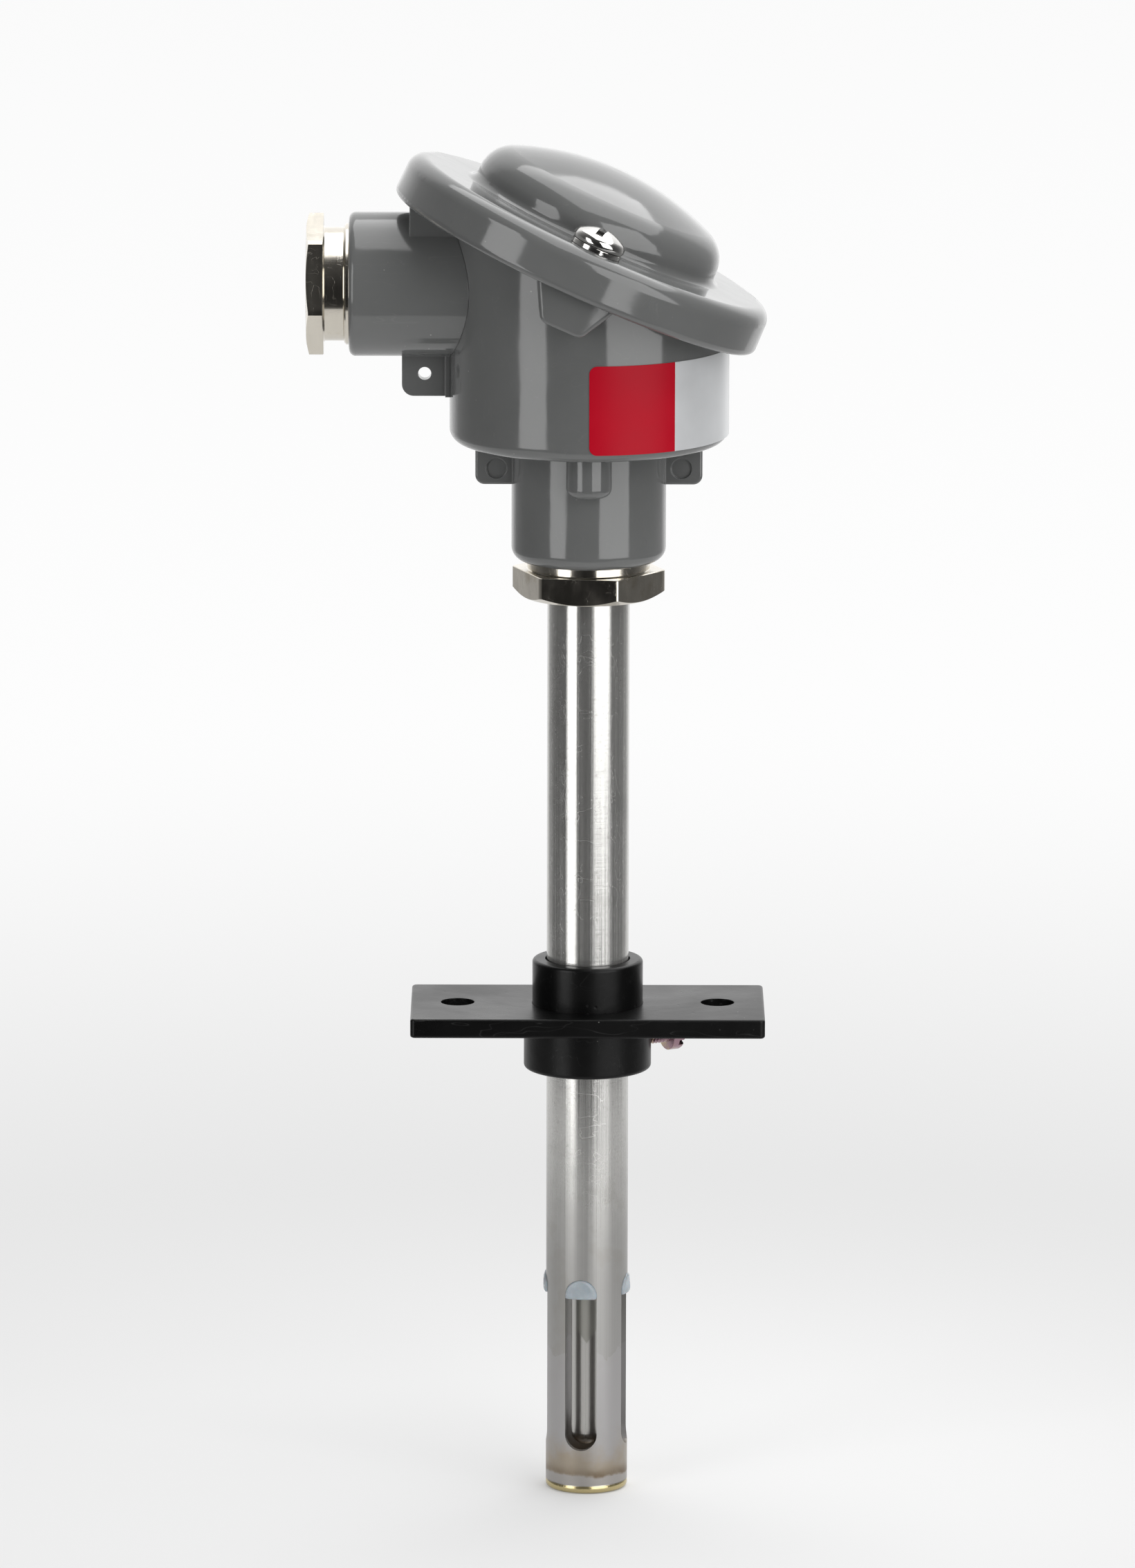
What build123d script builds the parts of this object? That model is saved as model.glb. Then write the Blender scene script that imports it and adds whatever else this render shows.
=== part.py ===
from build123d import *
from math import cos, radians, sin, tan
import os

os.makedirs("parts", exist_ok=True)

# A duct temperature sensor. All sizes are in millimetres. The origin is on the tube's axis
# at the underside of the flange plate, Z points up to the head, and the cable entry is at -X.

# Flange plate
plate_length = 69.0
plate_width = 32.0
plate_thickness = 3.75
plate_corner_r = 1.0
plate_edge_r = 0.5
plate_hole_d = 6.6
plate_hole_spacing = 50.8

# Turned hub in the plate
upper_collar_d = 21.6
upper_collar_height = 8.85
lower_collar_d = 24.9
lower_collar_height = 9.1
collar_edge_r = 0.7
tube_gap = 0.3

# Clamp screw in the lower collar, on the right and turned to the back
clamp_turn = 28.0
clamp_drop = 4.1
clamp_thread_d = 4.0
clamp_head_d = 7.0
clamp_head_height = 2.6
clamp_thread_shown = 5.05
clamp_point_length = 1.2
clamp_head_edge_r = 0.5

# Protection tube with its slots
tube_d = 16.0
tube_wall = 1.25
tube_below_plate = 93.7
tube_in_head = 12.5
slot_width = 6.3
slot_length = 34.5
slot_end_height = 8.8
slot_count = 4
slot_turn = -8.8
cap_thickness = 0.9
cap_spigot_height = 2.6
cap_edge_r = 0.7

# Sealant between the tube and the rod, at the upper ends of the slots
sealant_in_slot = 3.9
sealant_above_slot = 8.0
sealant_bulge = 0.5

# Measuring rod on the axis
rod_d = 6.0
rod_wall = 0.5
rod_tip_height = 5.0
rod_tip_r = 2.4
chip_length = 5.0
chip_width = 2.6
chip_thickness = 1.2
lead_d = 0.8
lead_spacing = 1.8
lead_bend_r = 1.8
lead_start_share = 0.7
lead_bend_rise = 1.2

# Pressure screw of the neck, with the ring that it tightens on the tube
free_tube = 72.3
neck_hex_af = 26.0
neck_hex_height = 5.3
neck_hex_turn = -8.4
neck_hex_chamfer = 1.3
neck_thread_d = 24.0
neck_thread_shown = 1.7
neck_thread_in = 10.0
neck_shank_chamfer = 0.6
clamp_ring_height = 3.0
clamp_ring_taper = 1.2

# Housing: neck, round body, cable boss and tilted rim
neck_d = 30.0
neck_height = 23.4
neck_fillet = 2.7
body_d = 54.0
body_wall = 2.7
body_fillet = 2.6
cover_shift = -3.0
cover_rise = 32.85
cover_tilt = 24.3
cover_roll = 1.6
rim_d = 69.0
rim_height = 4.5
mouth_d = 49.6
mouth_sink = 0.5
boss_d = 27.9
boss_rise = 30.6
boss_length = 19.4
boss_fillet = 1.3
boss_bore_depth = 18.4
boss_pad_length = 7.6
boss_pad_width = 18.0
cable_hole_d = 16.0

# Ears and round screw bosses beside the neck
ear_span = 44.0
ear_height = 8.3
ear_thickness = 5.0
ear_corner_r = 1.8
ear_edge_r = 0.5
ear_dimple_spacing = 35.8
ear_dimple_d = 4.0
ear_dimple_rise = 3.2
ear_dimple_depth = 0.4
base_screw_edge = 4.0
round_boss_d = 8.8
round_boss_drop = 8.2
round_boss_fillet = 1.8

# Tab with a hole for a sealing wire, under the cable boss
tab_length = 9.2
tab_rise = 8.9
tab_thickness = 3.0
tab_corner_r = 2.3
tab_hole_out = 4.8
tab_hole_rise = 13.3
tab_hole_d = 2.54
tab_rib_in = 0.4
tab_rib_width = 2.4
tab_rib_depth = 1.6

# Lugs under the rim that take the cover screws
lug_drop = 7.2
lug_bottom_width = 8.4
lug_flare = 28.4
lug_corner_r = 2.0
lug_edge_r = 0.9

# Cover
skirt_d = 76.2
skirt_draft = 1.7
skirt_height = 9.1
skirt_edge_r = 3.0
skirt_foot_r = 1.3
cover_wall = 2.5
cover_rim_gap = 0.35
dome_d = 50.0
dome_foot_r = 1.6
dome_height = 21.75
dome_crown_r = 54.0
dome_knuckle_r = 6.5
gasket_width = 1.8
gasket_height = 1.4
gasket_groove_depth = 0.9
gasket_inset = 0.4

# Cover screws with their washers
cover_thread_d = 5.0
cover_screw_head_d = 10.0
cover_screw_head_height = 3.5
cover_screw_edge_height = 1.5
cover_screw_slot = 1.3
cover_screw_in = 12.0
cover_screw_edge_r = 0.5
cover_screw_slot_turn = 55.0
cover_screw_crown = (-0.35, 1)
cover_washer_d = 8.8
cover_washer_height = 1.0
cover_hole_gap = 0.3
cover_screw_dome_gap = 0.2
spot_gap = 0.35

# Cable gland in the boss
gland_hex_af = 24.0
gland_hex_height = 3.3
gland_hex_turn = 6.0
gland_hex_chamfer = 1.2
gland_neck_d = 22.0
gland_neck_length = 4.4
gland_neck_shown = 0.5
gland_thread_d = 23.6
gland_thread_length = 7.6
gland_bore_d = 13.0
gland_washer_height = 1.5
gland_washer_bore_d = 10.0
gland_seal_bore_d = 8.0

# Terminal block with its screws and the earth screw
base_wall_gap = 3.8
base_height = 5.0
base_lift = 3.0
base_hole_d = 8.0
base_edge_r = 0.6
base_recess = 1.7
barrier_width = 2.0
barrier_length = 6.0
barrier_height = 4.0
base_screw_d = 4.0
base_screw_head_d = 7.0
base_screw_head_height = 2.6
terminal_edge_gap = 0.5
terminal_width = 7.0
terminal_length = 14.0
terminal_height = 7.0
terminal_pitch = 7.0
terminal_chamfer = 0.4
terminal_wire_rise = 3.6
terminal_wire_d = 2.4
terminal_screw_d = 3.0
terminal_screw_head_d = 5.5
terminal_screw_head_height = 2.0
earth_wall_gap = 2.1
earth_base_gap = 1.5
earth_pillar_d = 6.4
earth_pillar_height = 9.0
earth_screw_d = 4.0
earth_screw_in = 6.3
earth_head_d = 7.0
earth_head_height = 2.4
earth_washer_d = 8.0
earth_washer_height = 0.8

# Label on the body, from the front round to the right
label_rise = 1.7
label_height = 17.3
label_angle = 115.0
label_thickness = 0.15

# Fits: a turning thread has running_fit around it, a part that slides past another has slide_gap
running_fit = 0.05
slide_gap = 0.3

# Screwdriver slots, and how far a cut runs past the face that it opens
screw_slot_share = 0.5
screw_slot_reach = 1.2
screw_slot_turn = 30.0
cut_past = 1.0
radius_match = 0.01

# Heights and planes that follow from the sizes above
collar_top_z = plate_thickness + upper_collar_height
nut_z = collar_top_z + free_tube
hex_top_z = nut_z + neck_hex_height
neck_z = hex_top_z + neck_thread_shown
body_z = neck_z + neck_height
floor_z = body_z + body_wall
nut_top_z = neck_z + neck_thread_in
ring_top_z = nut_top_z + clamp_ring_height
neck_bore_top_z = ring_top_z + slide_gap
tube_top_z = neck_bore_top_z + tube_in_head - body_wall
boss_z = body_z + boss_rise
cover_z = body_z + cover_rise
base_z = floor_z + base_lift
base_top_z = base_z + base_height
wire_z = base_top_z + terminal_wire_rise

# Places in the head: the earth screw by the wall, then the flat of the base, then the terminals
chamber_r = body_d / 2 - body_wall
earth_reach = chamber_r - earth_washer_d / 2 - earth_wall_gap
base_flat = earth_reach - earth_pillar_d / 2 - earth_base_gap
terminal_reach = base_flat - terminal_width / 2 - terminal_edge_gap
base_d = 2 * (chamber_r - base_wall_gap)
base_screw_spacing = base_d - 2 * base_screw_edge

# What stands out of the body's wall on the cable side
boss_reach = body_d / 2 + boss_length
boss_pad_reach = body_d / 2 + boss_pad_length
tab_reach = body_d / 2 + tab_length
tab_hole_reach = body_d / 2 + tab_hole_out
tab_rib_reach = body_d / 2 - tab_rib_in

# The cover slopes down to the right, and leans a little to the back
tilt_cos = cos(radians(cover_tilt))
tilt_sin = sin(radians(cover_tilt))
roll_cos = cos(radians(cover_roll))
roll_sin = sin(radians(cover_roll))
cover_plane = Plane(
    origin=(cover_shift, 0, cover_z),
    x_dir=(tilt_cos, 0, -tilt_sin),
    z_dir=(tilt_sin * roll_cos, roll_sin, tilt_cos * roll_cos),
)
# The cover's plane seen from the front: x runs down to the right, y along the cover's axis
cover_section = Plane(
    origin=cover_plane.origin,
    x_dir=cover_plane.x_dir,
    z_dir=-cover_plane.y_dir,
)
cover_axis = Axis(cover_plane.origin, cover_plane.z_dir)
cover_screw_r = (dome_d + cover_screw_head_d) / 2 + cover_screw_dome_gap
screw_places = {"front": (0, -cover_screw_r), "rear": (0, cover_screw_r)}
washer_h = skirt_height
head_h = washer_h + cover_washer_height

slot_top_z = -tube_below_plate + slot_end_height + slot_length
slot_mid_z = slot_top_z - slot_length / 2
slot_planes = []
for slot_index in range(slot_count):
    slot_angle = radians(slot_turn + slot_index * 360 / slot_count)
    slot_planes.append(
        Plane(
            origin=(0, 0, slot_mid_z),
            x_dir=(cos(slot_angle), sin(slot_angle), 0),
            z_dir=(sin(slot_angle), -cos(slot_angle), 0),
        )
    )

# Flange plate
with BuildPart() as flange_plate:
    with BuildSketch(Plane.XY):
        RectangleRounded(plate_length, plate_width, plate_corner_r)
    extrude(amount=plate_thickness)
    fillet(flange_plate.faces().sort_by(Axis.Z)[-1].edges(), plate_edge_r)
    fillet(flange_plate.faces().sort_by(Axis.Z)[0].edges(), plate_edge_r)
    with BuildSketch(Plane.XY):
        Circle(upper_collar_d / 2)
        with GridLocations(plate_hole_spacing, 1, 2, 1):
            Circle(plate_hole_d / 2)
    extrude(amount=plate_thickness, mode=Mode.SUBTRACT)
flange_plate.part.label = "flange_plate"

# Hub: the upper collar passes through the plate, the lower one stops against it
hub_bore_r = tube_d / 2 + tube_gap
clamp_cos = cos(radians(clamp_turn))
clamp_sin = sin(radians(clamp_turn))
clamp_plane = Plane(
    origin=(0, 0, -clamp_drop),
    x_dir=(-clamp_sin, clamp_cos, 0),
    z_dir=(clamp_cos, clamp_sin, 0),
)
clamp_axis = Axis(clamp_plane.origin, clamp_plane.z_dir)
with BuildPart() as flange_hub:
    with BuildSketch(Plane.XZ):
        with BuildLine():
            Polyline(
                (hub_bore_r, -lower_collar_height),
                (lower_collar_d / 2, -lower_collar_height),
                (lower_collar_d / 2, 0),
                (upper_collar_d / 2, 0),
                (upper_collar_d / 2, collar_top_z),
                (hub_bore_r, collar_top_z),
                close=True,
            )
        make_face()
    revolve(axis=Axis.Z)
    hub_rims = flange_hub.edges().filter_by(GeomType.CIRCLE)
    fillet(hub_rims.group_by(Axis.Z)[0].sort_by(SortBy.RADIUS)[-1], collar_edge_r)
    fillet(hub_rims.group_by(Axis.Z)[-1].sort_by(SortBy.RADIUS)[-1], collar_edge_r)
    with BuildSketch(clamp_plane):
        Circle(clamp_thread_d / 2 + running_fit)
    extrude(amount=lower_collar_d, mode=Mode.SUBTRACT)
flange_hub.part.label = "flange_hub"

# Clamp screw, a slotted cheese head with a coned point towards the tube
clamp_tip_r = tube_d / 2 + slide_gap
clamp_seat_r = lower_collar_d / 2 + clamp_thread_shown
with BuildPart() as clamp_screw:
    with BuildSketch(Plane(origin=clamp_plane.origin, x_dir=clamp_plane.z_dir, z_dir=(0, 0, 1))):
        with BuildLine():
            Polyline(
                (clamp_tip_r, 0),
                (clamp_tip_r, clamp_thread_d / 4),
                (clamp_tip_r + clamp_point_length, clamp_thread_d / 2),
                (clamp_seat_r, clamp_thread_d / 2),
                (clamp_seat_r, clamp_head_d / 2),
                (clamp_seat_r + clamp_head_height, clamp_head_d / 2),
                (clamp_seat_r + clamp_head_height, 0),
                close=True,
            )
        make_face()
    revolve(axis=clamp_axis)
    fillet(clamp_screw.edges().filter_by(GeomType.CIRCLE).sort_by(clamp_axis)[-1], clamp_head_edge_r)
    with BuildSketch(clamp_plane.offset(clamp_seat_r + clamp_head_height)):
        Rectangle(clamp_head_d * screw_slot_reach, clamp_head_d / 6, rotation=clamp_turn)
    extrude(amount=-clamp_head_height * screw_slot_share, mode=Mode.SUBTRACT)
clamp_screw.part.label = "clamp_screw"

# Protection tube with rounded slots near its lower end
tube_r = tube_d / 2
tube_bore_r = tube_r - tube_wall
cap_z = -tube_below_plate
with BuildPart() as protection_tube:
    with BuildSketch(Plane.XY.offset(cap_z + cap_thickness)):
        Circle(tube_r)
        Circle(tube_bore_r, mode=Mode.SUBTRACT)
    extrude(amount=tube_top_z - cap_z - cap_thickness)
    with BuildSketch(*slot_planes):
        SlotOverall(slot_length, slot_width, rotation=90)
    extrude(amount=tube_d, mode=Mode.SUBTRACT)
protection_tube.part.label = "protection_tube"

# End cap, let into the tube and welded round its edge
with BuildPart() as tube_end_cap:
    with BuildSketch(Plane.XY.offset(cap_z)):
        Circle(tube_r)
    extrude(amount=cap_thickness)
    fillet(tube_end_cap.edges().sort_by(Axis.Z)[0], cap_edge_r)
    with BuildSketch(Plane.XY.offset(cap_z + cap_thickness)):
        Circle(tube_bore_r)
    extrude(amount=cap_spigot_height)
tube_end_cap.part.label = "tube_end_cap"

# Sealant: a plug round the rod whose lower end fills the tops of the slots and stands proud
rod_r = rod_d / 2
sealant_z = slot_top_z - sealant_in_slot
with BuildPart() as tube_sealant:
    with BuildSketch(*slot_planes):
        SlotOverall(slot_length, slot_width, rotation=90)
    extrude(amount=tube_r + sealant_bulge)
    with BuildSketch(Plane.XY.offset(sealant_z)):
        Circle(tube_r + sealant_bulge)
    extrude(amount=sealant_in_slot + cut_past, mode=Mode.INTERSECT)
    with BuildSketch(Plane.XY.offset(sealant_z)):
        Circle(tube_bore_r)
    extrude(amount=sealant_in_slot + sealant_above_slot)
    with BuildSketch(Plane.XY.offset(sealant_z)):
        Circle(rod_r)
    extrude(amount=sealant_in_slot + sealant_above_slot, mode=Mode.SUBTRACT)
tube_sealant.part.label = "tube_sealant"

# Measuring rod, a thin closed tube, with its chip at the tip and two leads up to the head
rod_tip_z = cap_z + cap_thickness + cap_spigot_height + rod_tip_height
rod_top_z = floor_z + base_lift / 2
with BuildPart() as measuring_rod:
    with BuildSketch(Plane.XY.offset(rod_tip_z)):
        Circle(rod_r)
    extrude(amount=rod_top_z - rod_tip_z)
    fillet(measuring_rod.edges().sort_by(Axis.Z)[0], rod_tip_r)
    with BuildSketch(Plane.XY.offset(rod_tip_z + rod_wall * 2)):
        Circle(rod_r - rod_wall)
    extrude(amount=rod_top_z - rod_tip_z, mode=Mode.SUBTRACT)
measuring_rod.part.label = "measuring_rod"

chip_z = rod_tip_z + rod_wall * 2 + slide_gap
with BuildPart() as sensing_chip:
    with BuildSketch(Plane.XY.offset(chip_z)):
        Rectangle(chip_width, chip_thickness)
    extrude(amount=chip_length)
sensing_chip.part.label = "sensing_chip"

lead_x = lead_spacing / 2
lead_y = terminal_pitch / 2
terminal_face_x = terminal_reach - terminal_width / 2
with BuildPart() as lead_wires:
    for side in (1, -1):
        with BuildLine() as lead_path:
            FilletPolyline(
                (side * lead_x, 0, chip_z + chip_length),
                (side * lead_x, 0, base_z + lead_bend_rise),
                (side * terminal_face_x * lead_start_share, side * lead_y, wire_z),
                (side * terminal_reach, side * lead_y, wire_z),
                radius=lead_bend_r,
            )
        with BuildSketch(Plane(origin=(side * lead_x, 0, chip_z + chip_length), z_dir=(0, 0, 1))):
            Circle(lead_d / 2)
        sweep(path=lead_path.line)
lead_wires.part.label = "lead_wires"

# Neck pressure screw: hexagon with a turned underside, and the shank that screws into the neck
neck_shank_r = neck_thread_d / 2 - running_fit
nut_bore_r = tube_r + tube_gap
neck_hex_circle_r = neck_hex_af / 2 / cos(radians(30))
with BuildPart() as neck_nut:
    with BuildSketch(Plane.XY.offset(nut_z)):
        RegularPolygon(neck_hex_af / 2, 6, major_radius=False, rotation=neck_hex_turn)
    extrude(amount=neck_hex_height)
    with BuildSketch(Plane.XZ):
        with BuildLine():
            Polyline(
                (0, nut_z),
                (neck_hex_circle_r - neck_hex_chamfer / tan(radians(30)), nut_z),
                (neck_hex_circle_r, nut_z + neck_hex_chamfer),
                (neck_hex_circle_r, hex_top_z),
                (0, hex_top_z),
                close=True,
            )
        make_face()
    revolve(axis=Axis.Z, mode=Mode.INTERSECT)
    with BuildSketch(Plane.XY.offset(hex_top_z)):
        Circle(neck_shank_r)
    extrude(amount=nut_top_z - hex_top_z)
    chamfer(neck_nut.edges().sort_by(Axis.Z)[-1], neck_shank_chamfer)
    with BuildSketch(Plane.XY.offset(nut_z)):
        Circle(nut_bore_r)
    extrude(amount=nut_top_z - nut_z, mode=Mode.SUBTRACT)
neck_nut.part.label = "neck_nut"

# Ring that the pressure screw pushes up on the tube, tapered towards the head
ring_outer_r = neck_shank_r - slide_gap
with BuildPart() as neck_clamp_ring:
    with BuildSketch(Plane.XZ):
        with BuildLine():
            Polyline(
                (nut_bore_r, nut_top_z),
                (ring_outer_r, nut_top_z),
                (ring_outer_r, ring_top_z - clamp_ring_taper),
                (ring_outer_r - clamp_ring_taper, ring_top_z),
                (nut_bore_r, ring_top_z),
                close=True,
            )
        make_face()
    revolve(axis=Axis.Z)
neck_clamp_ring.part.label = "neck_clamp_ring"

# The housing is one casting in the real head. Here it is three nodes that touch, the body, the
# neck and the cable boss, so that each keeps its own bore open.
neck_bore_r = neck_thread_d / 2
tube_hole_r = tube_r + running_fit
base_hole_places = ((0, base_screw_spacing / 2), (0, -base_screw_spacing / 2))

# The round chamber under the rim, opened by a tilted mouth
with BuildPart() as chamber_core:
    with BuildSketch(Plane.XY.offset(floor_z)):
        Circle(chamber_r)
    extrude(amount=2 * cover_rise)
    split(bisect_by=cover_plane.offset(-mouth_sink), keep=Keep.BOTTOM)
    with BuildSketch(cover_plane.offset(-mouth_sink - radius_match)):
        Circle(mouth_d / 2)
    extrude(amount=rim_height * 2)

# Round body with the tilted rim disc on it
with BuildPart() as housing_body:
    with BuildSketch(Plane.XY.offset(body_z)):
        Circle(body_d / 2)
    extrude(amount=2 * cover_rise)
    split(bisect_by=cover_plane, keep=Keep.BOTTOM)
    body_foot = housing_body.faces().sort_by(Axis.Z)[0]
    fillet(body_foot.edges(), body_fillet)
    with BuildSketch(cover_plane):
        Circle(rim_d / 2)
    extrude(amount=rim_height)

# Lugs, wider towards the rim, at the front and the rear, rounded like the rim
lug_half_top = lug_bottom_width / 2 + (lug_drop + rim_height / 2) * tan(radians(lug_flare))
with BuildPart() as housing_lugs:
    with BuildSketch(cover_section.offset(chamber_r - body_wall)):
        with BuildLine():
            Polyline(
                (-lug_bottom_width / 2, -lug_drop),
                (lug_bottom_width / 2, -lug_drop),
                (lug_half_top, rim_height / 2),
                (-lug_half_top, rim_height / 2),
                close=True,
            )
        make_face()
    extrude(amount=rim_d / 2 - chamber_r + body_wall)
    lug_corners = housing_lugs.edges().filter_by(Axis((0, 0, 0), cover_plane.y_dir)).group_by(cover_axis)[0]
    fillet(lug_corners, lug_corner_r)
    with BuildSketch(cover_plane.offset(-2 * lug_drop)):
        Circle(rim_d / 2)
    extrude(amount=3 * lug_drop, mode=Mode.INTERSECT)
    lug_front = housing_lugs.faces().sort_by(Axis.Y)[0]
    lug_face_edges = lug_front.edges().sort_by(cover_axis)[:-1]
    fillet(lug_face_edges, lug_edge_r)
    mirror(about=cover_section)

# What is taken out of the body: the chamber, the holes for the tube, the cable and the cover screws
with BuildPart() as housing_cuts:
    add(chamber_core.part)
    with BuildSketch(Plane.XY.offset(body_z - cut_past)):
        Circle(tube_hole_r)
    extrude(amount=body_wall + 2 * cut_past)
    with BuildSketch(Plane.YZ.offset(-boss_reach)):
        with Locations((0, boss_z)):
            Circle(cable_hole_d / 2)
    extrude(amount=boss_reach - chamber_r / 2)
    for screw_place in screw_places.values():
        with BuildSketch(cover_plane.offset(rim_height + cut_past)):
            with Locations(screw_place):
                Circle(cover_thread_d / 2 + running_fit)
        extrude(amount=-(rim_height + lug_drop))

# Pillars on the floor of the chamber, for the terminal block and the earth screw
with BuildPart() as housing_pillars:
    with BuildSketch(Plane.XY.offset(floor_z - body_wall / 2)):
        with Locations((-earth_reach, 0)):
            Circle(earth_pillar_d / 2)
    extrude(amount=earth_pillar_height + body_wall / 2)
    with BuildSketch(Plane.XY.offset(floor_z - body_wall / 2)):
        with Locations(*base_hole_places):
            Circle(round_boss_d / 2)
    extrude(amount=base_lift + body_wall / 2)

with BuildPart() as head_housing:
    add(housing_body.part)
    add(housing_lugs.part)
    add(housing_cuts.part, mode=Mode.SUBTRACT)
    add(housing_pillars.part)
    with BuildSketch(Plane.XY.offset(base_z)):
        with Locations(*base_hole_places):
            Circle(base_screw_d / 2 + running_fit)
    extrude(amount=-(base_lift + body_wall), mode=Mode.SUBTRACT)
    with BuildSketch(Plane.XY.offset(floor_z + earth_pillar_height)):
        with Locations((-earth_reach, 0)):
            Circle(earth_screw_d / 2 + running_fit)
    extrude(amount=-earth_pillar_height, mode=Mode.SUBTRACT)
head_housing.part.label = "head_housing"

# Neck with its rounded foot, the two ears and the round bosses for the terminal block's screws
with BuildPart() as housing_ears:
    with BuildSketch(Plane.XZ.offset(-ear_thickness / 2)):
        with Locations((0, body_z)):
            Rectangle(ear_span, ear_height, align=(Align.CENTER, Align.MAX))
    extrude(amount=ear_thickness)
    ear_corners = housing_ears.edges().filter_by(Axis.Y).group_by(Axis.Z)[0]
    fillet(ear_corners, ear_corner_r)
    fillet(housing_ears.edges().filter_by(GeomType.CIRCLE), ear_edge_r)
    with BuildSketch(Plane.XZ.offset(ear_thickness / 2)):
        with Locations(
            (-ear_dimple_spacing / 2, body_z - ear_height + ear_dimple_rise),
            (ear_dimple_spacing / 2, body_z - ear_height + ear_dimple_rise),
        ):
            Circle(ear_dimple_d / 2)
    extrude(amount=-ear_dimple_depth, mode=Mode.SUBTRACT)
    with BuildSketch(Plane.XY.offset(body_z)):
        with Locations(*base_hole_places):
            Circle(round_boss_d / 2)
    extrude(amount=-round_boss_drop)
    boss_rings = housing_ears.edges().filter_by(GeomType.CIRCLE)
    boss_rings = boss_rings.filter_by(lambda e: abs(e.radius - round_boss_d / 2) < radius_match)
    fillet(boss_rings.group_by(Axis.Z)[0], round_boss_fillet)

with BuildPart() as housing_neck:
    with BuildSketch(Plane.XZ):
        with BuildLine():
            Line((0, neck_z), (neck_d / 2 - neck_fillet, neck_z))
            RadiusArc(
                (neck_d / 2 - neck_fillet, neck_z),
                (neck_d / 2, neck_z + neck_fillet),
                -neck_fillet,
            )
            Polyline((neck_d / 2, neck_z + neck_fillet), (neck_d / 2, body_z), (0, body_z), (0, neck_z))
        make_face()
    revolve(axis=Axis.Z)
    add(housing_ears.part)
    # Stepped bore, for the pressure screw with its ring and then for the tube alone
    with BuildSketch(Plane.XY.offset(neck_z)):
        Circle(neck_bore_r)
    extrude(amount=neck_bore_top_z - neck_z, mode=Mode.SUBTRACT)
    with BuildSketch(Plane.XY.offset(neck_z)):
        Circle(tube_hole_r)
    extrude(amount=body_z - neck_z, mode=Mode.SUBTRACT)
    with BuildSketch(Plane.XY.offset(body_z)):
        with Locations(*base_hole_places):
            Circle(base_screw_d / 2 + running_fit)
    extrude(amount=-round_boss_drop / 2, mode=Mode.SUBTRACT)
housing_neck.part.label = "housing_neck"

# Tab with its hole and a short rib where it meets the body
tab_z = body_z + tab_rise
tab_height = boss_z - tab_z - boss_d / 2 + body_wall
with BuildPart() as housing_tab:
    with BuildSketch(Plane.XZ.offset(-tab_thickness / 2)):
        with Locations((-tab_reach, tab_z)):
            Rectangle(tab_reach - chamber_r, tab_height, align=(Align.MIN, Align.MIN))
    extrude(amount=tab_thickness)
    tab_corner = housing_tab.edges().filter_by(Axis.Y).group_by(Axis.Z)[0].sort_by(Axis.X)[0]
    fillet(tab_corner, tab_corner_r)
    with BuildSketch(Plane.XZ.offset(-tab_thickness)):
        with Locations((-tab_hole_reach, body_z + tab_hole_rise)):
            Circle(tab_hole_d / 2)
    extrude(amount=tab_thickness * 2, mode=Mode.SUBTRACT)
    with BuildSketch(Plane.XZ.offset(-tab_thickness / 2)):
        with Locations((-tab_rib_reach, tab_z)):
            Rectangle(tab_rib_width, tab_height, align=(Align.CENTER, Align.MIN))
    extrude(amount=tab_thickness + tab_rib_depth)

# Cable boss, the pad that joins it to the rim and the tab under it, all outside the round body
with BuildPart() as cable_boss:
    with BuildSketch(Plane.YZ.offset(-boss_reach)):
        with Locations((0, boss_z)):
            Circle(boss_d / 2)
    extrude(amount=boss_reach)
    with BuildSketch(Plane.XY.offset(boss_z)):
        with Locations((-boss_pad_reach, 0)):
            Rectangle(boss_pad_reach, boss_pad_width, align=(Align.MIN, Align.CENTER))
    extrude(amount=2 * cover_rise)
    split(bisect_by=cover_plane, keep=Keep.BOTTOM)
    boss_mouth = cable_boss.faces().sort_by(Axis.X)[0]
    fillet(boss_mouth.edges(), boss_fillet)
    add(housing_tab.part)
    with BuildSketch(Plane.XY.offset(body_z)):
        Circle(body_d / 2)
    extrude(amount=2 * cover_rise, mode=Mode.SUBTRACT)
    with BuildSketch(Plane.YZ.offset(-boss_reach)):
        with Locations((0, boss_z)):
            Circle(gland_thread_d / 2 + running_fit)
    extrude(amount=boss_bore_depth, mode=Mode.SUBTRACT)
    with BuildSketch(Plane.YZ.offset(-boss_reach)):
        with Locations((0, boss_z)):
            Circle(cable_hole_d / 2)
    extrude(amount=boss_reach, mode=Mode.SUBTRACT)
cable_boss.part.label = "cable_boss"

# Cover, turned about its own tilted axis: skirt, flat rim and raised dome
skirt_r = skirt_d / 2
rim_top_r = skirt_r - skirt_height * tan(radians(skirt_draft))
dome_r = dome_d / 2
inner_r = rim_d / 2 + cover_rim_gap
roof_h = rim_height + gasket_height - gasket_groove_depth
dome_inner_r = dome_r - cover_wall


def dome_points(wall):
    """Where the dome's wall, knuckle and crown meet, a wall's thickness inside the outer form."""
    crown_r = dome_crown_r - wall
    knuckle_r = dome_knuckle_r - wall
    knuckle_x = dome_r - dome_knuckle_r
    crown_h = dome_height - dome_crown_r
    knuckle_h = crown_h + ((dome_crown_r - dome_knuckle_r) ** 2 - knuckle_x**2) ** 0.5
    reach = crown_r / (dome_crown_r - dome_knuckle_r)
    meet = (knuckle_x * reach, crown_h + (knuckle_h - crown_h) * reach)
    half_turn = radians(0.5 * Vector(1, 0).get_angle(Vector(knuckle_x, knuckle_h - crown_h)))
    middle = (knuckle_x + knuckle_r * cos(half_turn), knuckle_h + knuckle_r * sin(half_turn))
    return (dome_r - wall, knuckle_h), middle, meet, (0, dome_height - wall)


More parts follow.
